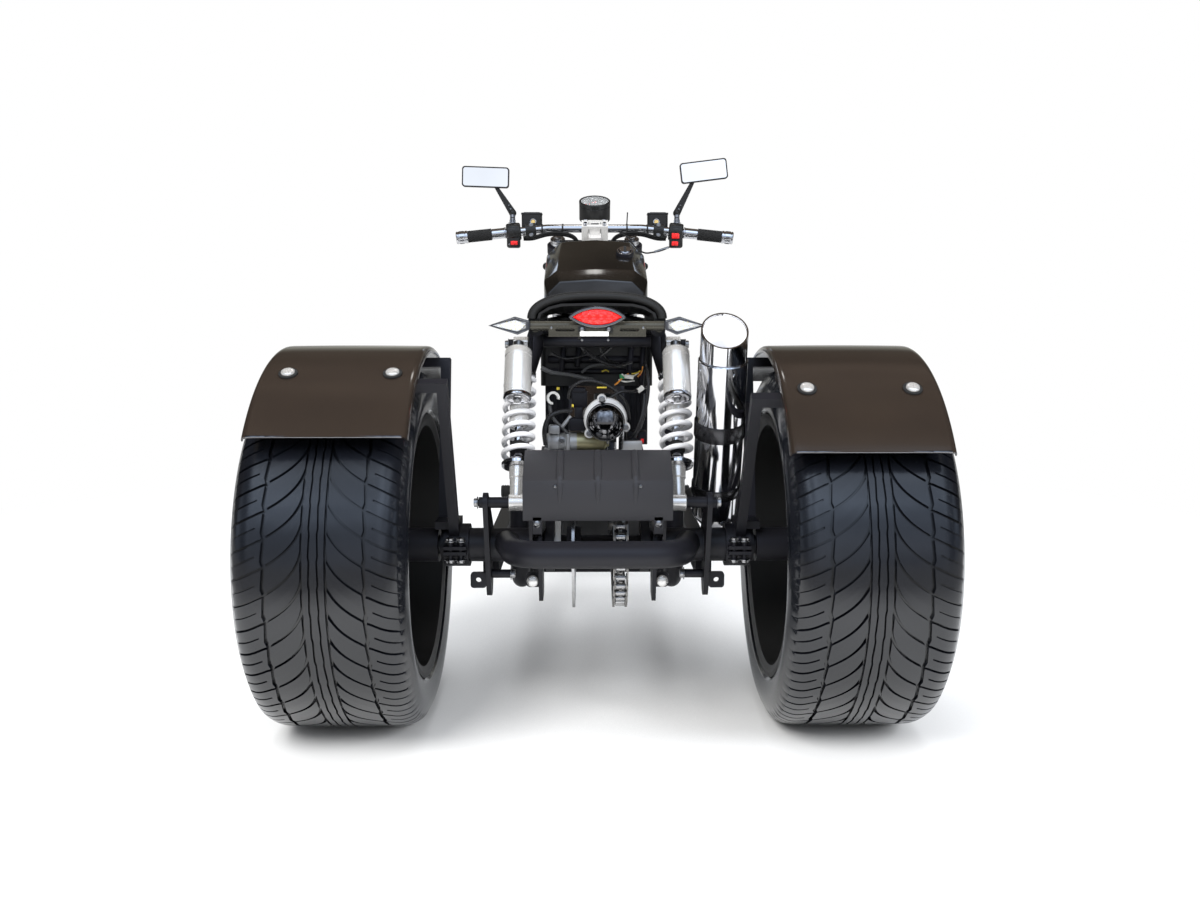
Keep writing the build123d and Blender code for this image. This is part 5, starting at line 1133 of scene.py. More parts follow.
@dataclass
class RearDrive(Assembly):
    """Chain of separate links, ribbed plate, bar behind the axle, clamps and their bolts."""

    chain_x: float = 41.0
    teeth: tuple[int, int] = (36, 14)
    links: int = 48
    pitch: float = 19.05

    def centres(self) -> tuple[float, float, float]:
        """Radii of both sprockets and the distance at which the chain closes."""
        big, small = (self.pitch / (2 * sin(pi / count)) for count in self.teeth)
        distance = self.links * radians(10) * big / 4
        for _ in range(40):
            lean = asin((big - small) / distance)
            length = 2 * distance * cos(lean) + big * (pi + 2 * lean) + small * (pi - 2 * lean)
            distance += (self.links * radians(10) * big - length) / 2
        return big, small, distance

    def pin(self, step: float) -> Vector:
        """Middle of a pin on the chain's loop, counted in links from the rearmost one.

        Args:
            step: Number of the pin.

        Returns:
            The point in metres.
        """
        big, small, span = self.centres()
        lean = asin((big - small) / span)
        run, turn = span * cos(lean), pi / 2 + lean
        whole = self.links * radians(10) * big
        travel = (step % self.links) * radians(10) * big
        side = 1 if travel <= whole / 2 else -1
        travel = min(travel, whole - travel)
        up = pi - turn
        if travel <= big * turn:
            angle = pi - travel / big
            y, z = big * cos(angle), big * sin(angle)
        elif travel <= big * turn + run:
            left = travel - big * turn
            y, z = big * cos(up) + left * sin(up), big * sin(up) - left * cos(up)
        else:
            angle = up - (travel - big * turn - run) / small
            y, z = span + small * cos(angle), small * sin(angle)
        return self.at(self.chain_x, y, AXLE_HIGH + side * z)

    def build(self) -> None:
        """Make the chain and the fasteners, and dress the drive's other parts."""
        plates, pins = Form(), Form()
        for link in range(self.links):
            here, after = self.pin(link), self.pin(link + 1)
            gap = 9.4 if link % 2 else 11.6
            for side in (-1, 1):
                self._link(plates, here, after, RIGHT * side * gap * MM)
            pins.rod(here - RIGHT * 12.9 * MM, here + RIGHT * 12.9 * MM, 2.6, 0.5, 10)
            pins.rod(here - RIGHT * 8 * MM, here + RIGHT * 8 * MM, 5.6, 0.4, 14)
        plates.piece("chain_plates", FINISH.chain_steel, "chain_steel")
        pins.piece("chain_pins", FINISH.steel, "chain_steel")
        self._sprocket()
        self._plate()
        self._fasteners()
        self.frame.dress(FINISH.frame_black, "main_frame", "swingarm", "axle_housing", "rear_bumper_bar")
        self.frame.dress(FINISH.cast_alloy, "rear_brake_caliper")

    def _link(self, form: Form, here: Vector, after: Vector, shift: Vector) -> None:
        """One waisted side plate of the chain.

        Args:
            form: The form that takes it.
            here: Middle of one pin.
            after: Middle of the next pin.
            shift: Offset of the plate from the chain's middle.
        """
        along = (after - here).normalized()
        square = along.cross(RIGHT)
        outline = []
        for centre, way in ((after, 1), (here, -1)):
            for angle in (-80, -48, -16, 16, 48, 80):
                turn = radians(angle)
                outline.append(centre + shift + (along * cos(turn) * way + square * sin(turn) * way) * 7.6
                    * MM)
            outline.append((here + after) / 2 + shift + square * way * 5.4 * MM)
        form.plate(outline, Vector((copysign(1.9 * MM, shift.x), 0, 0)), 0)

    def _sprocket(self) -> None:
        """Driving sprocket of the engine, which stands still like the chain's loop."""
        span = self.centres()[2]
        form = Form()
        rim = []
        for tooth in range(self.teeth[1]):
            for share, reach in ((0.0, 36.4), (0.2, 37.6), (0.42, 46.0), (0.58, 46.0), (0.8, 37.6)):
                turn = 2 * pi * (tooth + share) / self.teeth[1]
                rim.append(self.at(self.chain_x - 2.5, span + reach * cos(turn), AXLE_HIGH + reach
                    * sin(turn)))
        form.plate(rim, Vector((5 * MM, 0, 0)), 0)
        middle = self.at(self.chain_x + 2.5, span, AXLE_HIGH)
        form.rod(middle - mm(20, 0, 0), middle + mm(6, 0, 0), 16, 1, 32)
        form.bolt(middle + mm(5.4, 0, 0), RIGHT, 13, 8)
        form.piece("engine_sprocket", FINISH.chain_steel, "chain_steel", "drive_chain")

    def _plate(self) -> None:
        """Folded plate with three pressed ribs that run out in points."""
        form = Form()
        outline = [(-140, 403), (-140, 474), (-58, 517)]
        corners = [[self.at(x, y, z) for y, z in outline] for x in (-131, 131)]
        for low in (0, 1):
            a, b = corners[0][low], corners[0][low + 1]
            c, d = corners[1][low + 1], corners[1][low]
            thick = (b - a).cross(d - a).normalized() * 3 * MM
            form.plate([a, b, c, d], thick, 0.7)
        for x in (-66, 0, 66):
            spine = [(-140, 430, 2.0, 0.4), (-140, 448, 4.5, 2.6), (-139, 468, 6.4, 4.2),
                (-134, 478, 6.8, 4.6), (-100, 496, 6.4, 3.8), (-62, 516, 6.0, 3.0)]
            rings = []
            for index, (y, z, wide, high) in enumerate(spine):
                before = spine[max(index - 1, 0)]
                behind = spine[min(index + 1, len(spine) - 1)]
                along = Vector((0, behind[0] - before[0], behind[1] - before[1])).normalized()
                out = Vector((0, -along.z, along.y))
                rings.append(form.ring((self.at(x + wide * cos(t), y, z) + out * (high * sin(t) - 0.6) * MM
                    for t in (radians(a) for a in range(0, 181, 30))), False)[1])
            for first, second in zip(rings, rings[1:]):
                bmesh.ops.bridge_loops(form.mesh, edges=first + second)
        for x in (-106, 106):
            form.blocks(self.at(0, 0, 0), (x - 8, -140, 376, x + 8, -136, 410, 0.6),
                (x - 8, -140, 376, x + 8, -24, 380, 0.6), (x - 8, -28, 362, x + 8, -24, 380, 0.6))
        bmesh.ops.recalc_face_normals(form.mesh, faces=form.mesh.faces)
        form.piece("ribbed_plate", FINISH.plate_satin, "plate_satin", "mud_guard_plate")

    def _fasteners(self) -> None:
        """Bolts of the clamps, the side plates, the tabs and the plate."""
        form, heads = Form(), Form()
        for side in (-1, 1):
            for x in (251, 270):
                for y in (-48, 48):
                    form.bolt(self.at(side * x, y, 346.8), UP, 8.5)
                    form.bolt(self.at(side * x, y, 313.2), -UP, 8.5)
            heads.dome(self.at(side * 121, -22, 265), BACK, 11, 6)
            heads.rod(self.at(side * 121, -22, 265), self.at(side * 121, 10, 265), 9, 1)
            form.bolt(self.at(side * 162.5, -8, 276), Vector((-side, 0, 0)), 9, 7)
            form.dome(self.at(side * 106, -140, 398), BACK, 6.4, 3.4)
            for x, z in ((74, 464), (-74, 464)):
                form.dome(self.at(x, -140.2, z), BACK, 3.2, 1.6, 14)
        form.piece("chassis_bolts", FINISH.steel, "chain_steel")
        heads.piece("axle_bolt_heads", FINISH.satin_alloy, "chain_steel")


@dataclass
class Seat(Assembly):
    """Arched seat of stuffed leather with piped edges, over its black pan."""

    half: float = 130.0
    low: float = 750.0
    band: float = 16.0
    # y and height of the top at each station
    line: tuple[tuple[float, float], ...] = ((60.0, 800.0), (150.0, 793.0), (300.0, 784.0), (480.0, 798.0))

    def top(self, y: float) -> float:
        """Height of the seat's top at a distance from the rear axle."""
        for (y0, z0), (y1, z1) in zip(self.line, self.line[1:]):
            if y <= y1:
                return z0 + (z1 - z0) * (y - y0) / (y1 - y0)
        return self.line[-1][1]

    def arch(self, y: float, inset: float, steps: int = 32) -> list[Vector]:
        """Points across the arch at a station.

        Args:
            y: Distance from the rear axle.
            inset: How far the points lie inside the outer face.
            steps: Number of runs between them.

        Returns:
            The points from the right foot to the left foot.
        """
        rise, half = self.top(y) - inset - self.low, self.half - inset
        turns = [pi * index / steps for index in range(steps + 1)]
        return [self.at(copysign(half * abs(cos(t)) ** 0.75, cos(t)), y, self.low + rise
            * max(sin(t), 0.0) ** 0.9) for t in turns]

    def build(self) -> None:
        """Make the cushion and its piping, and dress the pan."""
        ends = [(0.0, 8.0), (1.0, 4.6), (3.0, 2.2), (7.0, 0.6), (13.0, 0.0)]
        first, last = self.line[0][0], self.line[-1][0]
        stations = [(first + run, inset) for run, inset in ends]
        stations += [(y, -0.8 * sin(pi * (y - first) / (last - first))) for y in (110, 180, 250, 320, 400)]
        stations += [(last - run, inset) for run, inset in reversed(ends)]
        cushion, piping = Form(), Form()
        rings = [self.arch(y, inset) + self.arch(y, self.band - max(inset, 0.0))[::-1] for y,
            inset in stations]
        cushion.skin(rings)
        cover = cushion.piece("seat_cover", FINISH.leather, "seat_leather", "seat_cushion", crease=40)
        for y, radius in ((first + 10, 2.0), (last - 10, 2.0), (305.0, 1.6)):
            piping.sweep(self.arch(y, -0.2, 40), radius, 8)
        piping.piece("seat_piping", FINISH.rubber, "seat_leather")
        self.frame.dress(FINISH.plastic, "seat_pan")


@dataclass
class Tank(Assembly):
    """Faceted gloss tank with its side bolts and the ignition lock."""

    rear: float = 486.0
    front: float = 985.0
    key_at: Point = (70.0, 630.0, 892.6)
    key_r: float = 22.0
    # share of the length, half width, bottom, side top, shoulder inset, top
    rows: tuple[tuple[float, ...], ...] = ((0.0, 110.0, 760.0, 800.0, 28.0, 832.0),
        (0.07, 119.0, 752.0, 830.0, 32.0, 858.0), (0.5, 121.0, 752.0, 896.0, 38.0, 934.0),
        (0.83, 107.0, 790.0, 884.0, 38.0, 920.0), (1.0, 91.0, 830.0, 862.0, 32.0, 890.0))

    def build(self) -> None:
        """Make the tank's shell with its softened facets, and what sits on it."""
        form = Form()
        rings = []
        for share, half, low, side, inset, top in self.rows:
            y = self.rear + share * (self.front - self.rear)
            right = [(half - 18, low), (half, low + 26), (half, side), (half - inset, top - 5), (0, top)]
            left = [(-x, z) for x, z in reversed(right[:-1])]
            rings.append([self.at(x, y, z) for x, z in right + left])
        form.skin(rings)
        edges = [edge for edge in form.mesh.edges if edge.calc_face_angle(0.0) > 0.05]
        form.soften(edges, 6, 3, clamp=True)
        bmesh.ops.recalc_face_normals(form.mesh, faces=form.mesh.faces)
        form.piece("tank_shell", FINISH.tank_gloss, "body_gloss", "fuel_tank", crease=24)
        bolts = Form()
        for side in (-1, 1):
            seat = self.at(side * 121, 700, 868)
            bolts.rod(seat - mm(side, 0, 0), seat + mm(side * 4, 0, 0), 9, 1, 24)
            bolts.dome(seat + mm(side * 4, 0, 0), Vector((side, 0, 0)), 6.5, 4)
        bolts.piece("tank_bolts", FINISH.rubber, "rubber_black")
        self._lock()

    def _lock(self) -> None:
        """Ignition lock: black collar, bright face in two halves and the key's black bow."""
        axis = Vector((0, -0.62, 1)).normalized()
        foot = self.at(*self.key_at)
        r = self.key_r
        collar, face, key = Form(), Form(), Form()
        collar.lathe([(-13, 0), (-13, r - 1), (9, r - 1), (11.5, r - 2.2), (12, r - 4), (11, r - 6), (11, 0)],
            foot, axis, 48)
        face.lathe([(10.5, 0), (10.5, r - 7), (14.5, r - 7.4), (15.6, r - 8.6), (15.6, 0)], foot, axis, 48)
        face.lathe([(11, r - 5.6), (12.6, r - 4.8), (12.6, r - 3), (11, r - 2.4)], foot, axis, 48,
            closed=True)
        tilt = Matrix.Rotation(radians(31.8), 4, "X")
        middle = foot + axis * 15.9 * MM
        reach = mm(3.2, r - 8, 1.2)
        key.brick(middle - reach, middle + reach, 0.5, tilt)
        collar.piece("lock_collar", FINISH.frame_black, "frame_black", "key_lock")
        face.piece("lock_face", FINISH.chrome, "chrome", "key_lock")
        key.piece("lock_slot", FINISH.rubber, "rubber_black", "key_lock")


@dataclass
class TailLights(Assembly):
    """Pointed oval tail lamp, number plate holder with its lamp, and kite-shaped signals."""

    height: float = 753.5
    half: float = 52.0
    rise: float = 19.0
    lens_half: float = 46.8
    lens_rise: float = 15.4
    signal_in: float = 124.3
    signal_long: float = 76.5
    signal_face: float = 17.0

    def eye(self, half: float, rise: float, x: float) -> float:
        """Half height of the pointed oval at a distance from its middle."""
        radius = (half * half + rise * rise) / (2 * rise)
        return max(sqrt(max(radius * radius - x * x, 0.0)) - (radius - rise), 0.0)

    def build(self) -> None:
        """Make the lamps and dress the holder."""
        self._lens()
        rim, hood = Form(), Form()
        half, rise = self.half - 2.6, self.rise - 2.2
        spots = [half * sin(pi / 2 * index / 16) for index in range(-16, 17)]
        loop = [(x, self.eye(half, rise, x)) for x in spots] + [(x, -self.eye(half, rise, x))
            for x in spots[::-1]]
        rim.sweep([self.at(x, -4.6, self.height + z) for x, z in loop], 3.0, 14)
        hood.sweep([self.at(x, -1.0, self.height + 1.5 + self.eye(half, rise, x)) for x in spots], 2.6, 12)
        rim.piece("tail_rim", FINISH.smoked, "chrome", crease=60)
        hood.piece("tail_hood", FINISH.frame_black, "frame_black", crease=60)
        self._signals()
        self._plate_lamp()
        self.frame.dress(FINISH.smoked, "tail_lamp_housing", "turn_signal_frames")
        self.frame.dress(FINISH.holder, "plate_bracket")

    def _lens(self) -> None:
        """Domed red lens with pressed facets."""
        form = Form()
        bmesh.ops.create_grid(form.mesh, x_segments=72, y_segments=24, size=1.0)
        for vert in form.mesh.verts:
            u, v = vert.co.x, vert.co.y
            x = self.lens_half * sin(u * pi / 2)
            swell = sqrt(max((1 - u * u) * (1 - v * v), 0.0))
            facet = abs(sin(u * 16)) * abs(cos(v * 5.2))
            y = 1.2 - 9.6 * swell ** 0.7 + 2.4 * facet * swell
            vert.co = self.at(x, y, self.height + v * self.eye(self.lens_half, self.lens_rise, x))
        form.weld()
        form.piece("tail_lens", FINISH.red_lens, "lens_red", "tail_lamp_lens", crease=60)

    def _kite(self, side: int, grow: float, y: float) -> list[Vector]:
        """Corners of a signal's outline.

        Args:
            side: -1 for the left one, 1 for the right one.
            grow: Distance inside the frame's outline.
            y: Distance from the rear axle.

        Returns:
            The corners in order.
        """
        corners = [(0, 746), (28, 754), (self.signal_long, 738), (22, 721), (0, 731)]
        middle = Vector((28, 738))
        spots = []
        for x, z in corners:
            away = Vector((x, z)) - middle
            spots.append(middle + away * (1 - grow / away.length))
        return [self.at(side * (self.signal_in + spot.x), y, spot.y) for spot in spots]

    def _signals(self) -> None:
        """Clear lenses over a white dish with rows of lamps, and the rounded frames."""
        lens, dish, dots, edge = Form(), Form(), Form(), Form()
        for side in (-1, 1):
            lens.plate(self._kite(side, 7.0, self.signal_face + 1.5), mm(0, -3.0, 0), 1.0)
            dish.plate(self._kite(side, 6.5, self.signal_face + 3.4), mm(0, -1.2, 0), 0.2)
            frame_line = self._kite(side, 1.8, self.signal_face + 0.6)
            edge.sweep(frame_line + frame_line[:2], 1.9, 10)
            for z, first, count in ((743.5, 18, 4), (737.5, 12, 6), (731.5, 18, 4)):
                for index in range(count):
                    spot = self.at(side * (self.signal_in + first + index * 8.2), self.signal_face + 2.3, z)
                    dots.dome(spot, BACK, 1.5, 0.9, 10)
        lens.piece("signal_lenses", FINISH.clear_lens, "lens_clear", "turn_signal_lenses")
        dish.piece("signal_dishes", FINISH.reflector, "lens_clear", "turn_signal_lenses")
        dots.piece("signal_lamps", FINISH.led, "lens_clear")
        edge.piece("signal_edges", FINISH.smoked, "chrome", crease=60)

    def _plate_lamp(self) -> None:
        """White lamp bar under the tail lamp, with its black brackets and bright screws."""
        bar, bracket, screw = Form(), Form(), Form()
        bar.blocks(self.at(0, 0, 0), (-32, -7.5, 718.5, 21, -0.2, 727.5, 1.6))
        for x in (-28, 21):
            bracket.blocks(self.at(0, 0, 0), (x - 7, -3.4, 725, x + 7, -0.1, 737, 1.0))
            screw.dome(self.at(x, -3.4, 731.5), BACK, 4.0, 2.2, 20)
        for x in (-28, 20):
            screw.dome(self.at(x, 4, 712), BACK, 2.6, 1.6, 16)
        for x in (-84, 84):
            screw.dome(self.at(x, 0.2, 734), BACK, 2.4, 1.2, 14)
        bar.piece("plate_lamp", FINISH.white_plastic, "lens_clear")
        bracket.piece("lamp_brackets", FINISH.plastic, "plastic_black")
        screw.piece("lamp_screws", FINISH.steel, "chrome")


@dataclass
class Cockpit(Assembly):
    """Handlebar with its clamp, grips, switches, brake cylinders, mirrors, cables and instrument."""

    half: float = 377.0
    straight: float = 130.0
    drop: float = 27.0
    sweep_back: float = 20.0
    rise: float = 69.5
    ahead: float = 13.6
    # x of the sleeve, of the rubber and of the end cap
    grips: Point = (242.5, 282.0, 347.0)
    switches: tuple[float, float] = (203.0, 242.0)
    clamps: tuple[float, float] = (162.0, 190.0)
    stem_x: float = 225.0

    def bar(self, x: float, y: float = 0.0, z: float = 0.0) -> Vector:
        """Place on the bar's centre line, or beside it.

        Args:
            x: Distance to the right of the middle.
            y: Further forwards, in millimetres.
            z: Further up, in millimetres.

        Returns:
            The point in metres.
        """
        middle = self.frame.steer(0, self.ahead, self.rise)
        share = max(0.0, (abs(x) - self.straight) / (self.half - self.straight))
        return middle + mm(x, y - self.sweep_back * share, z - self.drop * share)

    def build(self) -> None:
        """Make every piece of the cockpit."""
        self._grips()
        self._switches()
        self._cylinders()
        self._mirrors()
        self._instrument()
        self._clamp()
        self._cables()
        self.frame.dress(FINISH.chrome, "handlebar")
        self.frame.dress(FINISH.plastic, "brake_levers", "mirror_frames")
        self.frame.dress(FINISH.mirror, "mirror_glass")

    def _grips(self) -> None:
        """Bright sleeves, ribbed rubbers and grooved end caps."""
        rubber, bright, inlay = Form(), Form(), Form()
        sleeve, grip, cap = self.grips
        ribs = [(0.0, 13.0), (0.0, 15.4), (0.8, 16.0)]
        for index in range(26):
            foot = 2.0 + index * 2.4
            ribs += [(foot, 16.0), (foot + 0.3, 15.3), (foot + 0.9, 15.3), (foot + 1.2, 16.0)]
        ribs += [(64.6, 16.0), (65.2, 15.2), (65.2, 13.0)]
        for side in (-1, 1):
            start, tip = self.bar(side * grip), self.bar(side * cap)
            axis = (tip - start).normalized()
            rubber.lathe(ribs, start, axis, 40)
            bright.lathe([(0, 11.2), (0, 14.4), (1, 15), (5, 15), (6, 14), (39, 14), (39.6, 13.4),
                (39.6, 11.2)], self.bar(side * sleeve), axis, 40)
            bright.lathe([(0, 12), (0.2, 15.6), (1.2, 17), (6, 17), (6.6, 15.8), (8.6, 15.8), (9.2, 17),
                (24, 17), (24.6, 15.8), (26.4, 15.8), (27, 17), (29.6, 16.6), (31.6, 14.6), (31.8, 10),
                (29.8, 9.4), (29.6, 0)], tip, axis, 48)
            for index in range(10):
                turn = radians(36 * index)
                out = Vector((0, cos(turn), sin(turn)))
                out = (out - axis * out.dot(axis)).normalized()
                inlay.rod(tip + axis * 11 * MM + out * 16.4 * MM, tip + axis * 22 * MM + out * 16.4 * MM, 1.4,
                    0.4, 8)
            inlay.bolt(tip + axis * 29.2 * MM, axis, 5.5, 1.8)
        rubber.piece("grip_rubbers", FINISH.rubber, "rubber_black", "hand_grips", body="steering")
        bright.piece("grip_caps", FINISH.chrome, "chrome", "hand_grips", body="steering")
        inlay.piece("grip_inlays", FINISH.cast_dark, "plastic_black", "hand_grips", body="steering")

    def _switches(self) -> None:
        """Two-part switch boxes with their red buttons and screws."""
        shell, button, screw, mark = Form(), Form(), Form(), Form()
        low, high = self.switches
        wide = high - low
        for side in (-1, 1):
            start = self.bar(side * low)
            axis = (self.bar(side * high) - start).normalized()
            middle = self.bar(side * (low + high) / 2)
            shell.lathe([(0, 11.4), (0, 20), (1.6, 22.6), (4, 23.8), (wide / 2 - 0.8, 24),
                (wide / 2 - 0.5, 23.2), (wide / 2 + 0.5, 23.2), (wide / 2 + 0.8, 24), (wide - 4, 23.8),
                (wide - 1.6, 22.6), (wide, 20), (wide, 11.4)], start, axis, 48)
            shell.blocks(middle, (-18, -17, -43, 18, 13, -8, 5), (-15, -22, -16, 15, -6, 16, 4))
            for x, z in ((-11, -34), (11, -13)):
                screw.dome(middle + mm(x, -17, z), BACK, 2.6, 1.4, 14)
            mark.blocks(middle, (-7, -23.6, 2, 5, -21, 9, 1.0))
        left, right = self.bar(-222.5), self.bar(222.5)
        for seat, (x0, x1), (z0, z1) in ((left, (-7, 12), (-36, -25)), (right, (-13, 8), (-19, -4)),
                (right, (-13, 5), (-38, -26))):
            button.blocks(seat, (x0, -24.5, z0, x1, -15, z1, 2.0))
            middle = (x0 + x1) / 2
            button.blocks(seat, (middle - 2, -26.5, z0 + 2, middle + 6, -23, z1 - 2, 1.4))
        shell.piece("switch_shells", FINISH.plastic, "plastic_black", "switch_housings", body="steering")
        button.piece("switch_buttons", FINISH.red_plastic, "lens_red", body="steering")
        screw.piece("switch_screws", FINISH.steel, "chrome", body="steering")
        mark.piece("switch_sliders", FINISH.cast_dark, "plastic_black", body="steering")

    def _cylinders(self) -> None:
        """Lids, sight glasses and clamp bolts of the brake cylinders."""
        lid, ring, oil, screw = Form(), Form(), Form(), Form()
        for side in (-1, 1):
            middle = self.bar(side * (sum(self.clamps) / 2 - 2))
            lid.blocks(middle, (-29, 16, 43, 29, 52, 49, 1.8), (-22, 21, 48, 22, 47, 50.5, 1.0))
            for x in (-22, 22):
                screw.dome(middle + mm(x, 34, 49), UP, 3.2, 1.4, 16)
            eye = middle + mm(side * -4, 17, 24)
            ring.lathe([(0, 6.4), (0, 9.4), (2.2, 9.2), (3, 8.2), (3, 6.4)], eye, BACK, 36, closed=True)
            oil.dome(eye + BACK * 0.2 * MM, BACK, 6.6, 1.6)
            for z in (-13, 13):
                screw.bolt(middle + mm(0, -16, z), BACK, 4.6, 4)
            ring.bolt(middle + mm(22, 44, -12), -UP, 6.5, 5)
        lid.piece("cylinder_lids", FINISH.plastic, "plastic_black", body="steering")
        ring.piece("sight_rings", FINISH.chrome, "chrome", body="steering")
        oil.piece("sight_glasses", FINISH.amber, "lens_clear", body="steering")
        screw.piece("cylinder_screws", FINISH.steel, "chrome", body="steering")

    def _mirrors(self) -> None:
        """Bright stems with hexagons, and the screws of the mirror arms."""
        stem, dark = Form(), Form()
        for side in (-1, 1):
            foot = self.bar(side * self.stem_x, 0, 24)
            stem.bolt(foot, UP, 9.4, 8)
            stem.lathe([(9, 0), (9, 7.4), (13, 7.4), (14, 6.4), (15, 6.4), (16, 7.4), (25, 7.4), (27, 5.6),
                (27, 0)], foot, UP, 32)
            stem.dome(foot + UP * 28 * MM + BACK * 2.2 * MM, BACK, 5.6, 3.6)
            for z, r in ((38, 2.2), (48, 1.8)):
                dark.dome(foot + mm(side * (z - 26) * 0.42, -2.4, z), BACK, r, 0.8, 12)
        stem.piece("mirror_stems", FINISH.chrome, "chrome", body="steering")
        dark.piece("mirror_studs", FINISH.steel, "chrome", body="steering")

    def _instrument(self) -> None:
        """Round instrument: its can, dial with plain ticks, needle and glass."""
        base = self.frame.steer(0, 78, 62)
        axis = Vector((0, -0.42, 0.91)).normalized()
        ahead = axis.cross(RIGHT)
        can, glass, tick, needle, dial = Form(), Form(), Form(), Form(), Form()
        can.lathe([(0, 0), (0, 36), (2, 41), (5, 43), (44, 43), (45, 42), (46, 42), (47, 43.2), (56.5, 43.4),
            (58, 42), (58, 38.6), (54, 37.4), (50, 37.4), (50, 0)], base, axis, 64)
        foot = self.frame.steer(0, 50, 40)
        can.rod(self.frame.steer(0, 50, 12.3), foot, 7, 0.5)
        can.rod(foot, base + axis * 4 * MM, 7, 0.5)
        dial.lathe([(50.2, 0), (50.2, 37), (50.8, 37), (50.8, 0)], base, axis, 48)
        glass.lathe([(55.5, 0), (55.5, 38.2), (56.6, 38.2), (56.9, 30), (57.2, 0)], base, axis, 48)
        for index in range(25):
            turn = radians(-130 + index * 260 / 24)
            out = RIGHT * sin(turn) + ahead * -cos(turn)
            reach = 26 if index % 4 == 0 else 29.5
            tick.rod(base + axis * 51 * MM + out * reach * MM, base + axis * 51 * MM + out * 34 * MM, 0.6,
                0.1, 6)
        out = RIGHT * sin(-2.1) + ahead * cos(2.1)
        needle.rod(base + axis * 52.4 * MM - out * 6 * MM, base + axis * 52.4 * MM + out * 30 * MM, 0.9, 0.2,
            8)
        needle.dome(base + axis * 51.6 * MM, axis, 4.5, 3)
        can.piece("instrument_can", FINISH.plastic, "plastic_black", "speedometer", body="steering")
        dial.piece("instrument_dial", FINISH.rubber, "plastic_black", "speedometer", body="steering")
        glass.piece("instrument_glass", FINISH.clear_lens, "lens_clear", "speedometer", body="steering")
        tick.piece("instrument_ticks", FINISH.white_plastic, "lens_clear", body="steering")
        needle.piece("instrument_needle", FINISH.red_plastic, "lens_red", body="steering")

    def _clamp(self) -> None:
        """Parting lines, pockets and bolts of the bar clamp and its tongue."""
        gap, screw = Form(), Form()
        middle = self.bar(0)
        for x0, x1, z0, z1 in ((-35, 35, -1.6, -0.2), (-11, 11, 5, 13), (-17, -15.6, -14, 16),
                (15.6, 17, -14, 16), (-29, -21, 6, 12), (21, 29, 6, 12)):
            gap.blocks(middle, (x0, -20.5, z0, x1, -16, z1, 0.5))
        up = (self.frame.steer(0, 0, 1) - self.frame.steer(0, 0, 0)).normalized()
        for x in (-26, 26):
            for ahead in (2, 25):
                screw.bolt(self.frame.steer(x, ahead, self.rise + 17.5), up, 5.6, 5)
        screw.bolt(self.frame.steer(0, self.ahead - 38.2, 44), self.frame.steer(0, -1, 0)
            - self.frame.steer(0, 0, 0), 7.5, 5)
        gap.piece("clamp_pockets", FINISH.cast_dark, "plastic_black", body="steering")
        screw.piece("clamp_bolts", FINISH.chrome, "chrome", body="steering")
        self.frame.dress(FINISH.clamp_alloy, "riser_clamp")

    def _cables(self) -> None:
        """Cables held under the bar by ties, which end in the headlamp's shell."""
        cable, tie, fitting = Form(), Form(), Form()
        for side in (-1, 1):
            for low, spread, radius in ((-15.0, 0.0, 3.4), (-19.0, 7.0, 2.8), (-12.0, -9.0, 2.6)):
                route = [self.bar(side * x, y + spread, low + z) for x, y,
                    z in ((196, 4, -4), (170, 0, -6), (130, -2, 0), (92, 0, 1), (62, 4, -6), (46, 30, -22),
                    (40, 66, -50), (34, 104, -84))]
                cable.sweep(curve(route), radius, 10)
            for x in (86, 142):
                tie.lathe([(0, 11.2), (0, 12.6), (4.5, 12.6), (4.5, 11.2)], self.bar(side * x),
                    Vector((side, 0, 0)), 28, closed=True)
        bend = curve([self.bar(*spot) for spot in ((68, -4, -10), (92, -14, -26), (112, -20, -52),
            (136, -22, -66), (160, -22, -62), (184, -20, -54), (206, -14, -42))])
        cable.sweep(bend, 2.2, 10)
        fitting.rod(bend[-16], bend[-3], 3.4, 0.6, 16)
        tie.rod(self.bar(88, 2, 10), self.bar(90, 2, 44), 1.6, 0.4, 8)
        cable.piece("bar_cables", FINISH.rubber, "rubber_black", body="steering", crease=60)
        tie.piece("cable_ties", FINISH.plastic, "plastic_black", body="steering")
        fitting.piece("cable_fitting", FINISH.steel, "chrome", body="steering")


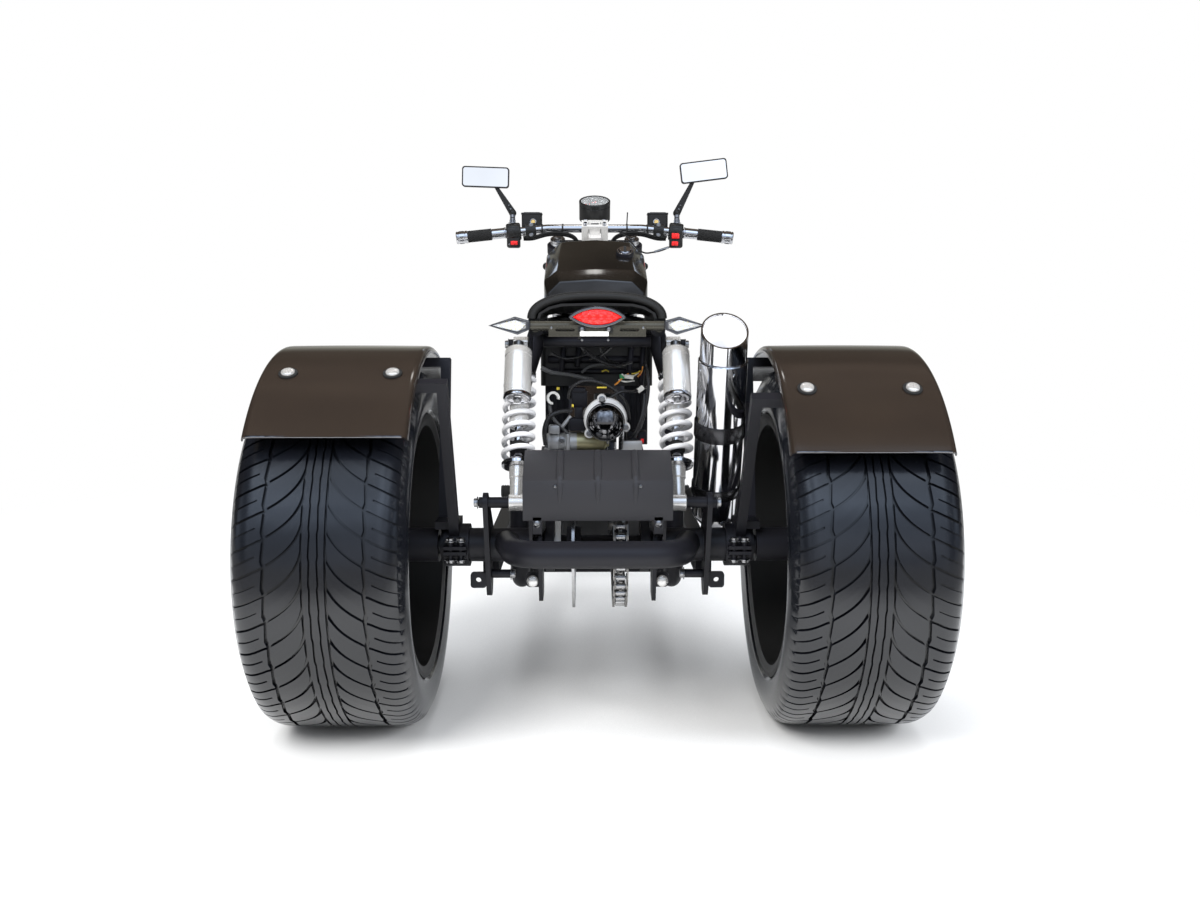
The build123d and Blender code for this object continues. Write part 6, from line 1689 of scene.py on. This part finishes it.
@dataclass
class EngineBay(Assembly):
    """What shows between the shocks: intake cap, starter, boxes, connectors, hoses and wires."""

    cap_x: float = 17.0
    cap_z: float = 549.0
    cap_y: float = 130.0
    flange_r: float = 39.0
    starter_y: float = 168.0
    starter_z: float = 503.3
    starter_r: float = 19.0

    def build(self) -> None:
        """Make the bay's pieces and dress the engine."""
        self._cap()
        self._starter()
        self._boxes()
        self._hoses()
        self._wires()
        self.frame.dress(FINISH.cast_dark, "engine_crankcase", "carburettor")
        self.frame.dress(FINISH.cast_alloy, "engine_cylinder")
        self.frame.dress(FINISH.plastic, "electrics_box")

    def _cap(self) -> None:
        """Bright dome on a pale three-eared casting, and the duct behind it."""
        flange, dome, screw, duct = Form(), Form(), Form(), Form()
        x, y, z = self.cap_x, self.cap_y, self.cap_z
        centre = self.at(x, y + 11, z + 3)
        flange.lathe([(0, 0), (0, 40), (2, 43), (9, 43), (12, 41), (13, 38), (13, 0)], centre, BACK, 64)
        flange.lathe([(-26, 0), (-26, 33), (-20, 36), (0, 38), (0, 0)], centre, BACK, 48)
        for angle in (100, 220, 340):
            turn = radians(angle)
            spot = (x + 42 * cos(turn), z + 2 + 42 * sin(turn))
            flange.lathe([(0, 0), (0, 8.6), (1, 9.4), (12, 9.4), (13, 8.4), (13, 0)],
                self.at(spot[0], y + 11, spot[1]), BACK, 28)
            screw.bolt(self.at(spot[0], y - 2, spot[1]), BACK, 4.8, 4)
        r = self.flange_r - 5
        arc = [(24.5 * sin(radians(a)), (r + 2.4) * cos(radians(a))) for a in range(0, 91, 6)]
        profile = [(0, 0), (0, r + 4), (2.0, r + 4), (2.8, r + 3)] + [(3.4 + along, reach) for along,
            reach in arc]
        profile[-1] = (3.4 + 24.5, 0)
        dome.lathe(profile, self.at(x, y - 0.5, z - 2), BACK, 72)
        duct.lathe([(0, 23), (0, 25), (20, 25)] + [(20 + i * 9 + o, 25 - d) for i in range(14) for o,
            d in ((0, 0), (1.5, 2), (6, 2), (7.5, 0))] + [(150, 25), (150, 23)], self.at(x, y + 14, z), AHEAD,
            32)
        flange.piece("intake_flange", FINISH.pale_cast, "engine_alloy", "intake_cap")
        dome.piece("intake_dome", FINISH.smoked, "chrome", "intake_cap", crease=50)
        duct.piece("intake_duct", FINISH.rubber, "rubber_black", "intake_cap")
        screw.piece("intake_screws", FINISH.steel, "chrome")

    def _starter(self) -> None:
        """Electric starter: zinc-plated can, cast end and its nose."""
        can, end, bolts = Form(), Form(), Form()
        r = self.starter_r
        foot = self.at(-100, self.starter_y, self.starter_z)
        end.lathe([(0, 0), (0, r - 4), (3, r - 1.4), (10, r - 1), (12, r), (24, r), (26, r - 1.6),
            (34, r - 1.6), (36, r), (60, r), (60, 0)], foot, RIGHT, 48)
        can.lathe([(60, 0), (60, r - 0.6), (112, r - 0.6), (116, r - 3), (120, r - 8), (124, r - 9),
            (124, 0)], foot, RIGHT, 48)
        for angle in (40, 220):
            turn = radians(angle)
            rail = Vector((0, cos(turn), sin(turn))) * (r - 3) * MM
            bolts.bolt(foot + rail, -RIGHT, 4.6, 4)
        bolts.bolt(foot + mm(30, -r + 1, 4), BACK, 5.2, 6)
        bolts.bolt(foot + mm(118, -8, 0), Vector((1, -0.6, 0)), 4.6, 5)
        can.piece("starter_can", FINISH.zinc_yellow, "zinc_yellow", "starter_motor")
        end.piece("starter_end", FINISH.cast_alloy, "engine_alloy", "starter_motor")
        bolts.piece("starter_bolts", FINISH.steel, "chain_steel")

    def _boxes(self) -> None:
        """Relay box, clips, plugs and the alloy block beside the cap."""
        black, white, alloy = Form(), Form(), Form()
        black.blocks(self.at(0, 0, 0), (-51, 160, 572, -19, 186, 606, 3), (-48, 158, 600, -22, 184, 612, 4),
            (-56, 150, 526, -22, 180, 552, 3), (-44, 148, 552, -28, 176, 574, 2),
            (60, 158, 500, 100, 200, 524, 3), (-86, 246, 650, -10, 262, 676, 3),
            (20, 240, 648, 96, 262, 690, 3))
        for side in (-1, 1):
            black.brick(self.at(min(side * 107, side * 58), 268, 484),
                self.at(max(side * 107, side * 58), 272, 620), 1.5)
            for x in (70, 82, 94):
                black.blocks(self.at(0, 0, 0), (side * x - 1.5, 263, 490, side * x + 1.5, 269, 612, 0.8))
        for z, y, r, half in ((704, 118, 10, 104), (664, 236, 8, 100), (640, 232, 6, 96)):
            black.rod(self.at(-half, y, z), self.at(half, y, z), r, 1, 24)
        for x, z0, z1 in ((-72, 640, 700), (-40, 650, 700), (66, 640, 700), (90, 610, 690)):
            black.rod(self.at(x, 216, z0), self.at(x + 6, 226, z1), 6, 1, 18)
        middle = self.at(-88, 152, 592)
        white.lathe([(0, 8.4), (0, 13), (9, 13), (9, 8.4)], middle, Vector((0.25, -1, 0.1)), 28, arc=280,
            closed=True)
        white.brick(self.at(80, 168, 603), self.at(95, 176, 613), 2, Matrix.Rotation(radians(-38), 4, "Y"))
        white.brick(self.at(56, 178, 628), self.at(74, 188, 636), 1.2, Matrix.Rotation(radians(8), 4, "Y"))
        alloy.blocks(self.at(0, 0, 0), (52, 142, 486, 90, 160, 507, 1.6), (-96, 150, 520, -74, 172, 538, 3))
        alloy.rod(self.at(-58, 152, 486), self.at(-58, 152, 520), 5, 1, 18)
        alloy.rod(self.at(-70, 150, 534), self.at(-52, 156, 556), 4, 1, 16)
        black.piece("bay_boxes", FINISH.frame_black, "plastic_black")
        white.piece("bay_clips", FINISH.white_plastic, "lens_clear")
        alloy.piece("bay_blocks", FINISH.cast_alloy, "engine_alloy")
        for name, finish, spots in (
                ("plug_green", FINISH.green_plastic, ((46, 182, 628, 56, 190, 637),)),
                ("plug_red", FINISH.red_plastic,
                    ((88, 156, 500, 94, 164, 510), (84, 186, 634, 89, 192, 644))),
                ("plug_yellow", FINISH.yellow_plastic,
                    ((-80, 156, 608, -74, 162, 613), (0, 156, 611, 20, 162, 614),
                    (-50, 150, 574, -46, 156, 580)))):
            form = Form()
            form.blocks(self.at(0, 0, 0), *((*spot, 1.0) for spot in spots))
            form.piece(name, finish, "zinc_yellow")

    def _hoses(self) -> None:
        """Black hoses round the engine, each from one fitting to another."""
        form, grey = Form(), Form()
        for radius, route in (
                (4.4, ((-102, 142, 500), (-104, 138, 530), (-94, 140, 556), (-72, 146, 566),
                    (-50, 154, 566))),
                (3.6, ((-56, 168, 590), (-50, 160, 612), (-26, 158, 626), (8, 158, 622), (38, 160, 606),
                    (58, 162, 580), (64, 166, 548))),
                (3.4, ((76, 152, 512), (90, 150, 546), (100, 150, 590), (102, 156, 626), (96, 180, 660))),
                (3.0, ((64, 160, 510), (80, 150, 530), (92, 150, 566), (96, 160, 600))),
                (3.6, ((-34, 110, 712), (-26, 128, 690), (2, 150, 668), (36, 168, 656), (70, 200, 660))),
                (3.0, ((10, 120, 712), (8, 140, 690), (20, 160, 668), (44, 184, 658))),
                (3.2, ((48, 120, 712), (30, 140, 694), (8, 150, 676), (-14, 168, 668))),
                (3.2, ((24, 156, 590), (48, 158, 604), (74, 166, 604), (100, 186, 612))),
                (2.6, ((-18, 200, 676), (-60, 190, 668), (-92, 196, 680)))):
            form.sweep(curve([self.at(*point) for point in route]), radius, 12)
        for radius, route in (
                (4.2, ((-112, 196, 650), (-90, 196, 640), (-60, 198, 636), (-30, 200, 630), (-6, 206, 624))),
                (3.2, ((-94, 156, 584), (-92, 152, 566), (-84, 152, 548), (-70, 154, 534), (-58, 158, 520))),
                (3.0, ((-30, 200, 640), (-14, 196, 652), (16, 196, 656), (48, 200, 652)))):
            grey.sweep(curve([self.at(*point) for point in route]), radius, 12)
        form.piece("bay_hoses", FINISH.hose, "rubber_black", crease=60)
        grey.piece("bay_conduits", FINISH.conduit, "rubber_black", crease=60)

    def _wires(self) -> None:
        """Thin coloured wires of the loom, between its sleeve and its plugs."""
        for name, finish, routes in (
                ("wires_orange", FINISH.orange_wire,
                    (((36, 176, 616), (44, 180, 622), (52, 184, 630), (64, 190, 638)),
                    ((82, 182, 632), (90, 184, 642), (92, 190, 652)))),
                ("wires_yellow", FINISH.yellow_plastic,
                    (((70, 184, 638), (80, 184, 640), (88, 188, 644)),
                    ((10, 190, 642), (18, 190, 645), (24, 194, 642)))),
                ("wires_white", FINISH.white_plastic,
                    (((50, 182, 638), (60, 180, 632), (74, 182, 634), (84, 188, 640)),
                    ((44, 186, 626), (58, 184, 622), (76, 184, 624))))):
            form = Form()
            for route in routes:
                form.sweep(curve([self.at(*point) for point in route]), 1.5, 8)
            form.piece(name, finish, "zinc_yellow", crease=60)


@dataclass
class FrontEnd(Assembly):
    """Fork, headlamp, front fender and foot pegs."""

    fork_x: float = 103.0
    offset: float = 29.4
    length: float = 719.0
    slider_top: float = 335.0
    lamp_y: float = 1290.0
    lamp_z: float = 866.0
    lamp_r: float = 85.0

    def build(self) -> None:
        """Make the fittings and dress the front."""
        steer = self.frame.steer
        up = (steer(0, 0, 1) - steer(0, 0, 0)).normalized()
        seal, caps, rim, lens, pegs = Form(), Form(), Form(), Form(), Form()
        for side in (-1, 1):
            top = steer(side * self.fork_x, self.offset, self.slider_top - self.length)
            seal.lathe([(-2, 20.6), (-2, 27), (2, 28), (12, 27), (16, 24), (18, 21.5), (18, 20.6)], top, up,
                40)
            caps.lathe([(20, 0), (20, 19.5), (24, 20.4), (30, 20.4), (32, 18), (32, 0)],
                steer(side * self.fork_x, self.offset, 0), up, 36)
            caps.bolt(steer(side * self.fork_x, self.offset, 31.6), up, 11, 6)
            axle = self.frame.joints["front_wheel_spin"]
            caps.bolt(axle + mm(side * 128, 0, 0), Vector((side, 0, 0)), 13, 6)
            for rise in (-40, 40):
                caps.bolt(steer(side * 76, self.offset - 32, -180 + rise * 0.25),
                    -(steer(0, 1, 0) - steer(0, 0, 0)), 5.4, 5)
            peg = self.at(side * 172, 880, 278)
            pegs.lathe([(0, 14), (0, 15.4)] + [(i * 6.5 + o, r) for i in range(12) for o,
                r in ((2, 15.4), (2.4, 17), (5.4, 17), (5.8, 15.4))] + [(78, 15.4), (79.5, 14), (79.5, 0)],
                peg, Vector((side, 0, 0)), 28)
        front = self.at(0, self.lamp_y - 100, self.lamp_z)
        r = self.lamp_r
        rim.lathe([(92, r - 0.4), (94, r + 1), (99.6, r + 1), (102.6, r - 2.4), (102.6, r - 6.6),
            (100, r - 7.6), (92, r - 7.6)], front, AHEAD, 72, closed=True)
        rings = [(84.5, 0), (84.5, r - 7.8), (97, r - 7.8)]
        rings += [(98 + 7.6 * (1 - (share / 8) ** 2) + 0.5 * (share % 2), (r - 8) * share / 8)
            for share in range(8, 0, -1)]
        lens.lathe(rings + [(105.6, 0)], front, AHEAD, 72)
        seal.piece("fork_seals", FINISH.rubber, "rubber_black", body="steering")
        caps.piece("fork_caps", FINISH.steel, "chrome", body="steering")
        rim.piece("headlamp_rim", FINISH.chrome, "chrome", body="steering")
        lens.piece("headlamp_glass", FINISH.clear_lens, "lens_clear", "headlamp_lens", body="steering")
        pegs.piece("peg_rubbers", FINISH.rubber, "rubber_black")
        self.frame.dress(FINISH.chrome, "headlamp_shell")
        self.frame.dress(FINISH.alloy, "fork_legs")
        self.frame.dress(FINISH.frame_black, "fork_yokes", "foot_pegs")
        self.frame.dress(FINISH.fender_gloss, "front_fender")


def main() -> None:
    """Build the whole scooter and its studio."""
    logging.basicConfig(level=logging.INFO, format="%(message)s")
    frame = Frame.load()
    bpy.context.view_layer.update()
    for part in (Studio, Wheels, Fenders, Suspension, Exhaust, RearDrive, Seat, Tank, TailLights, Cockpit,
            EngineBay, FrontEnd):
        part(frame).build()


if __name__ == "__main__":
    main()
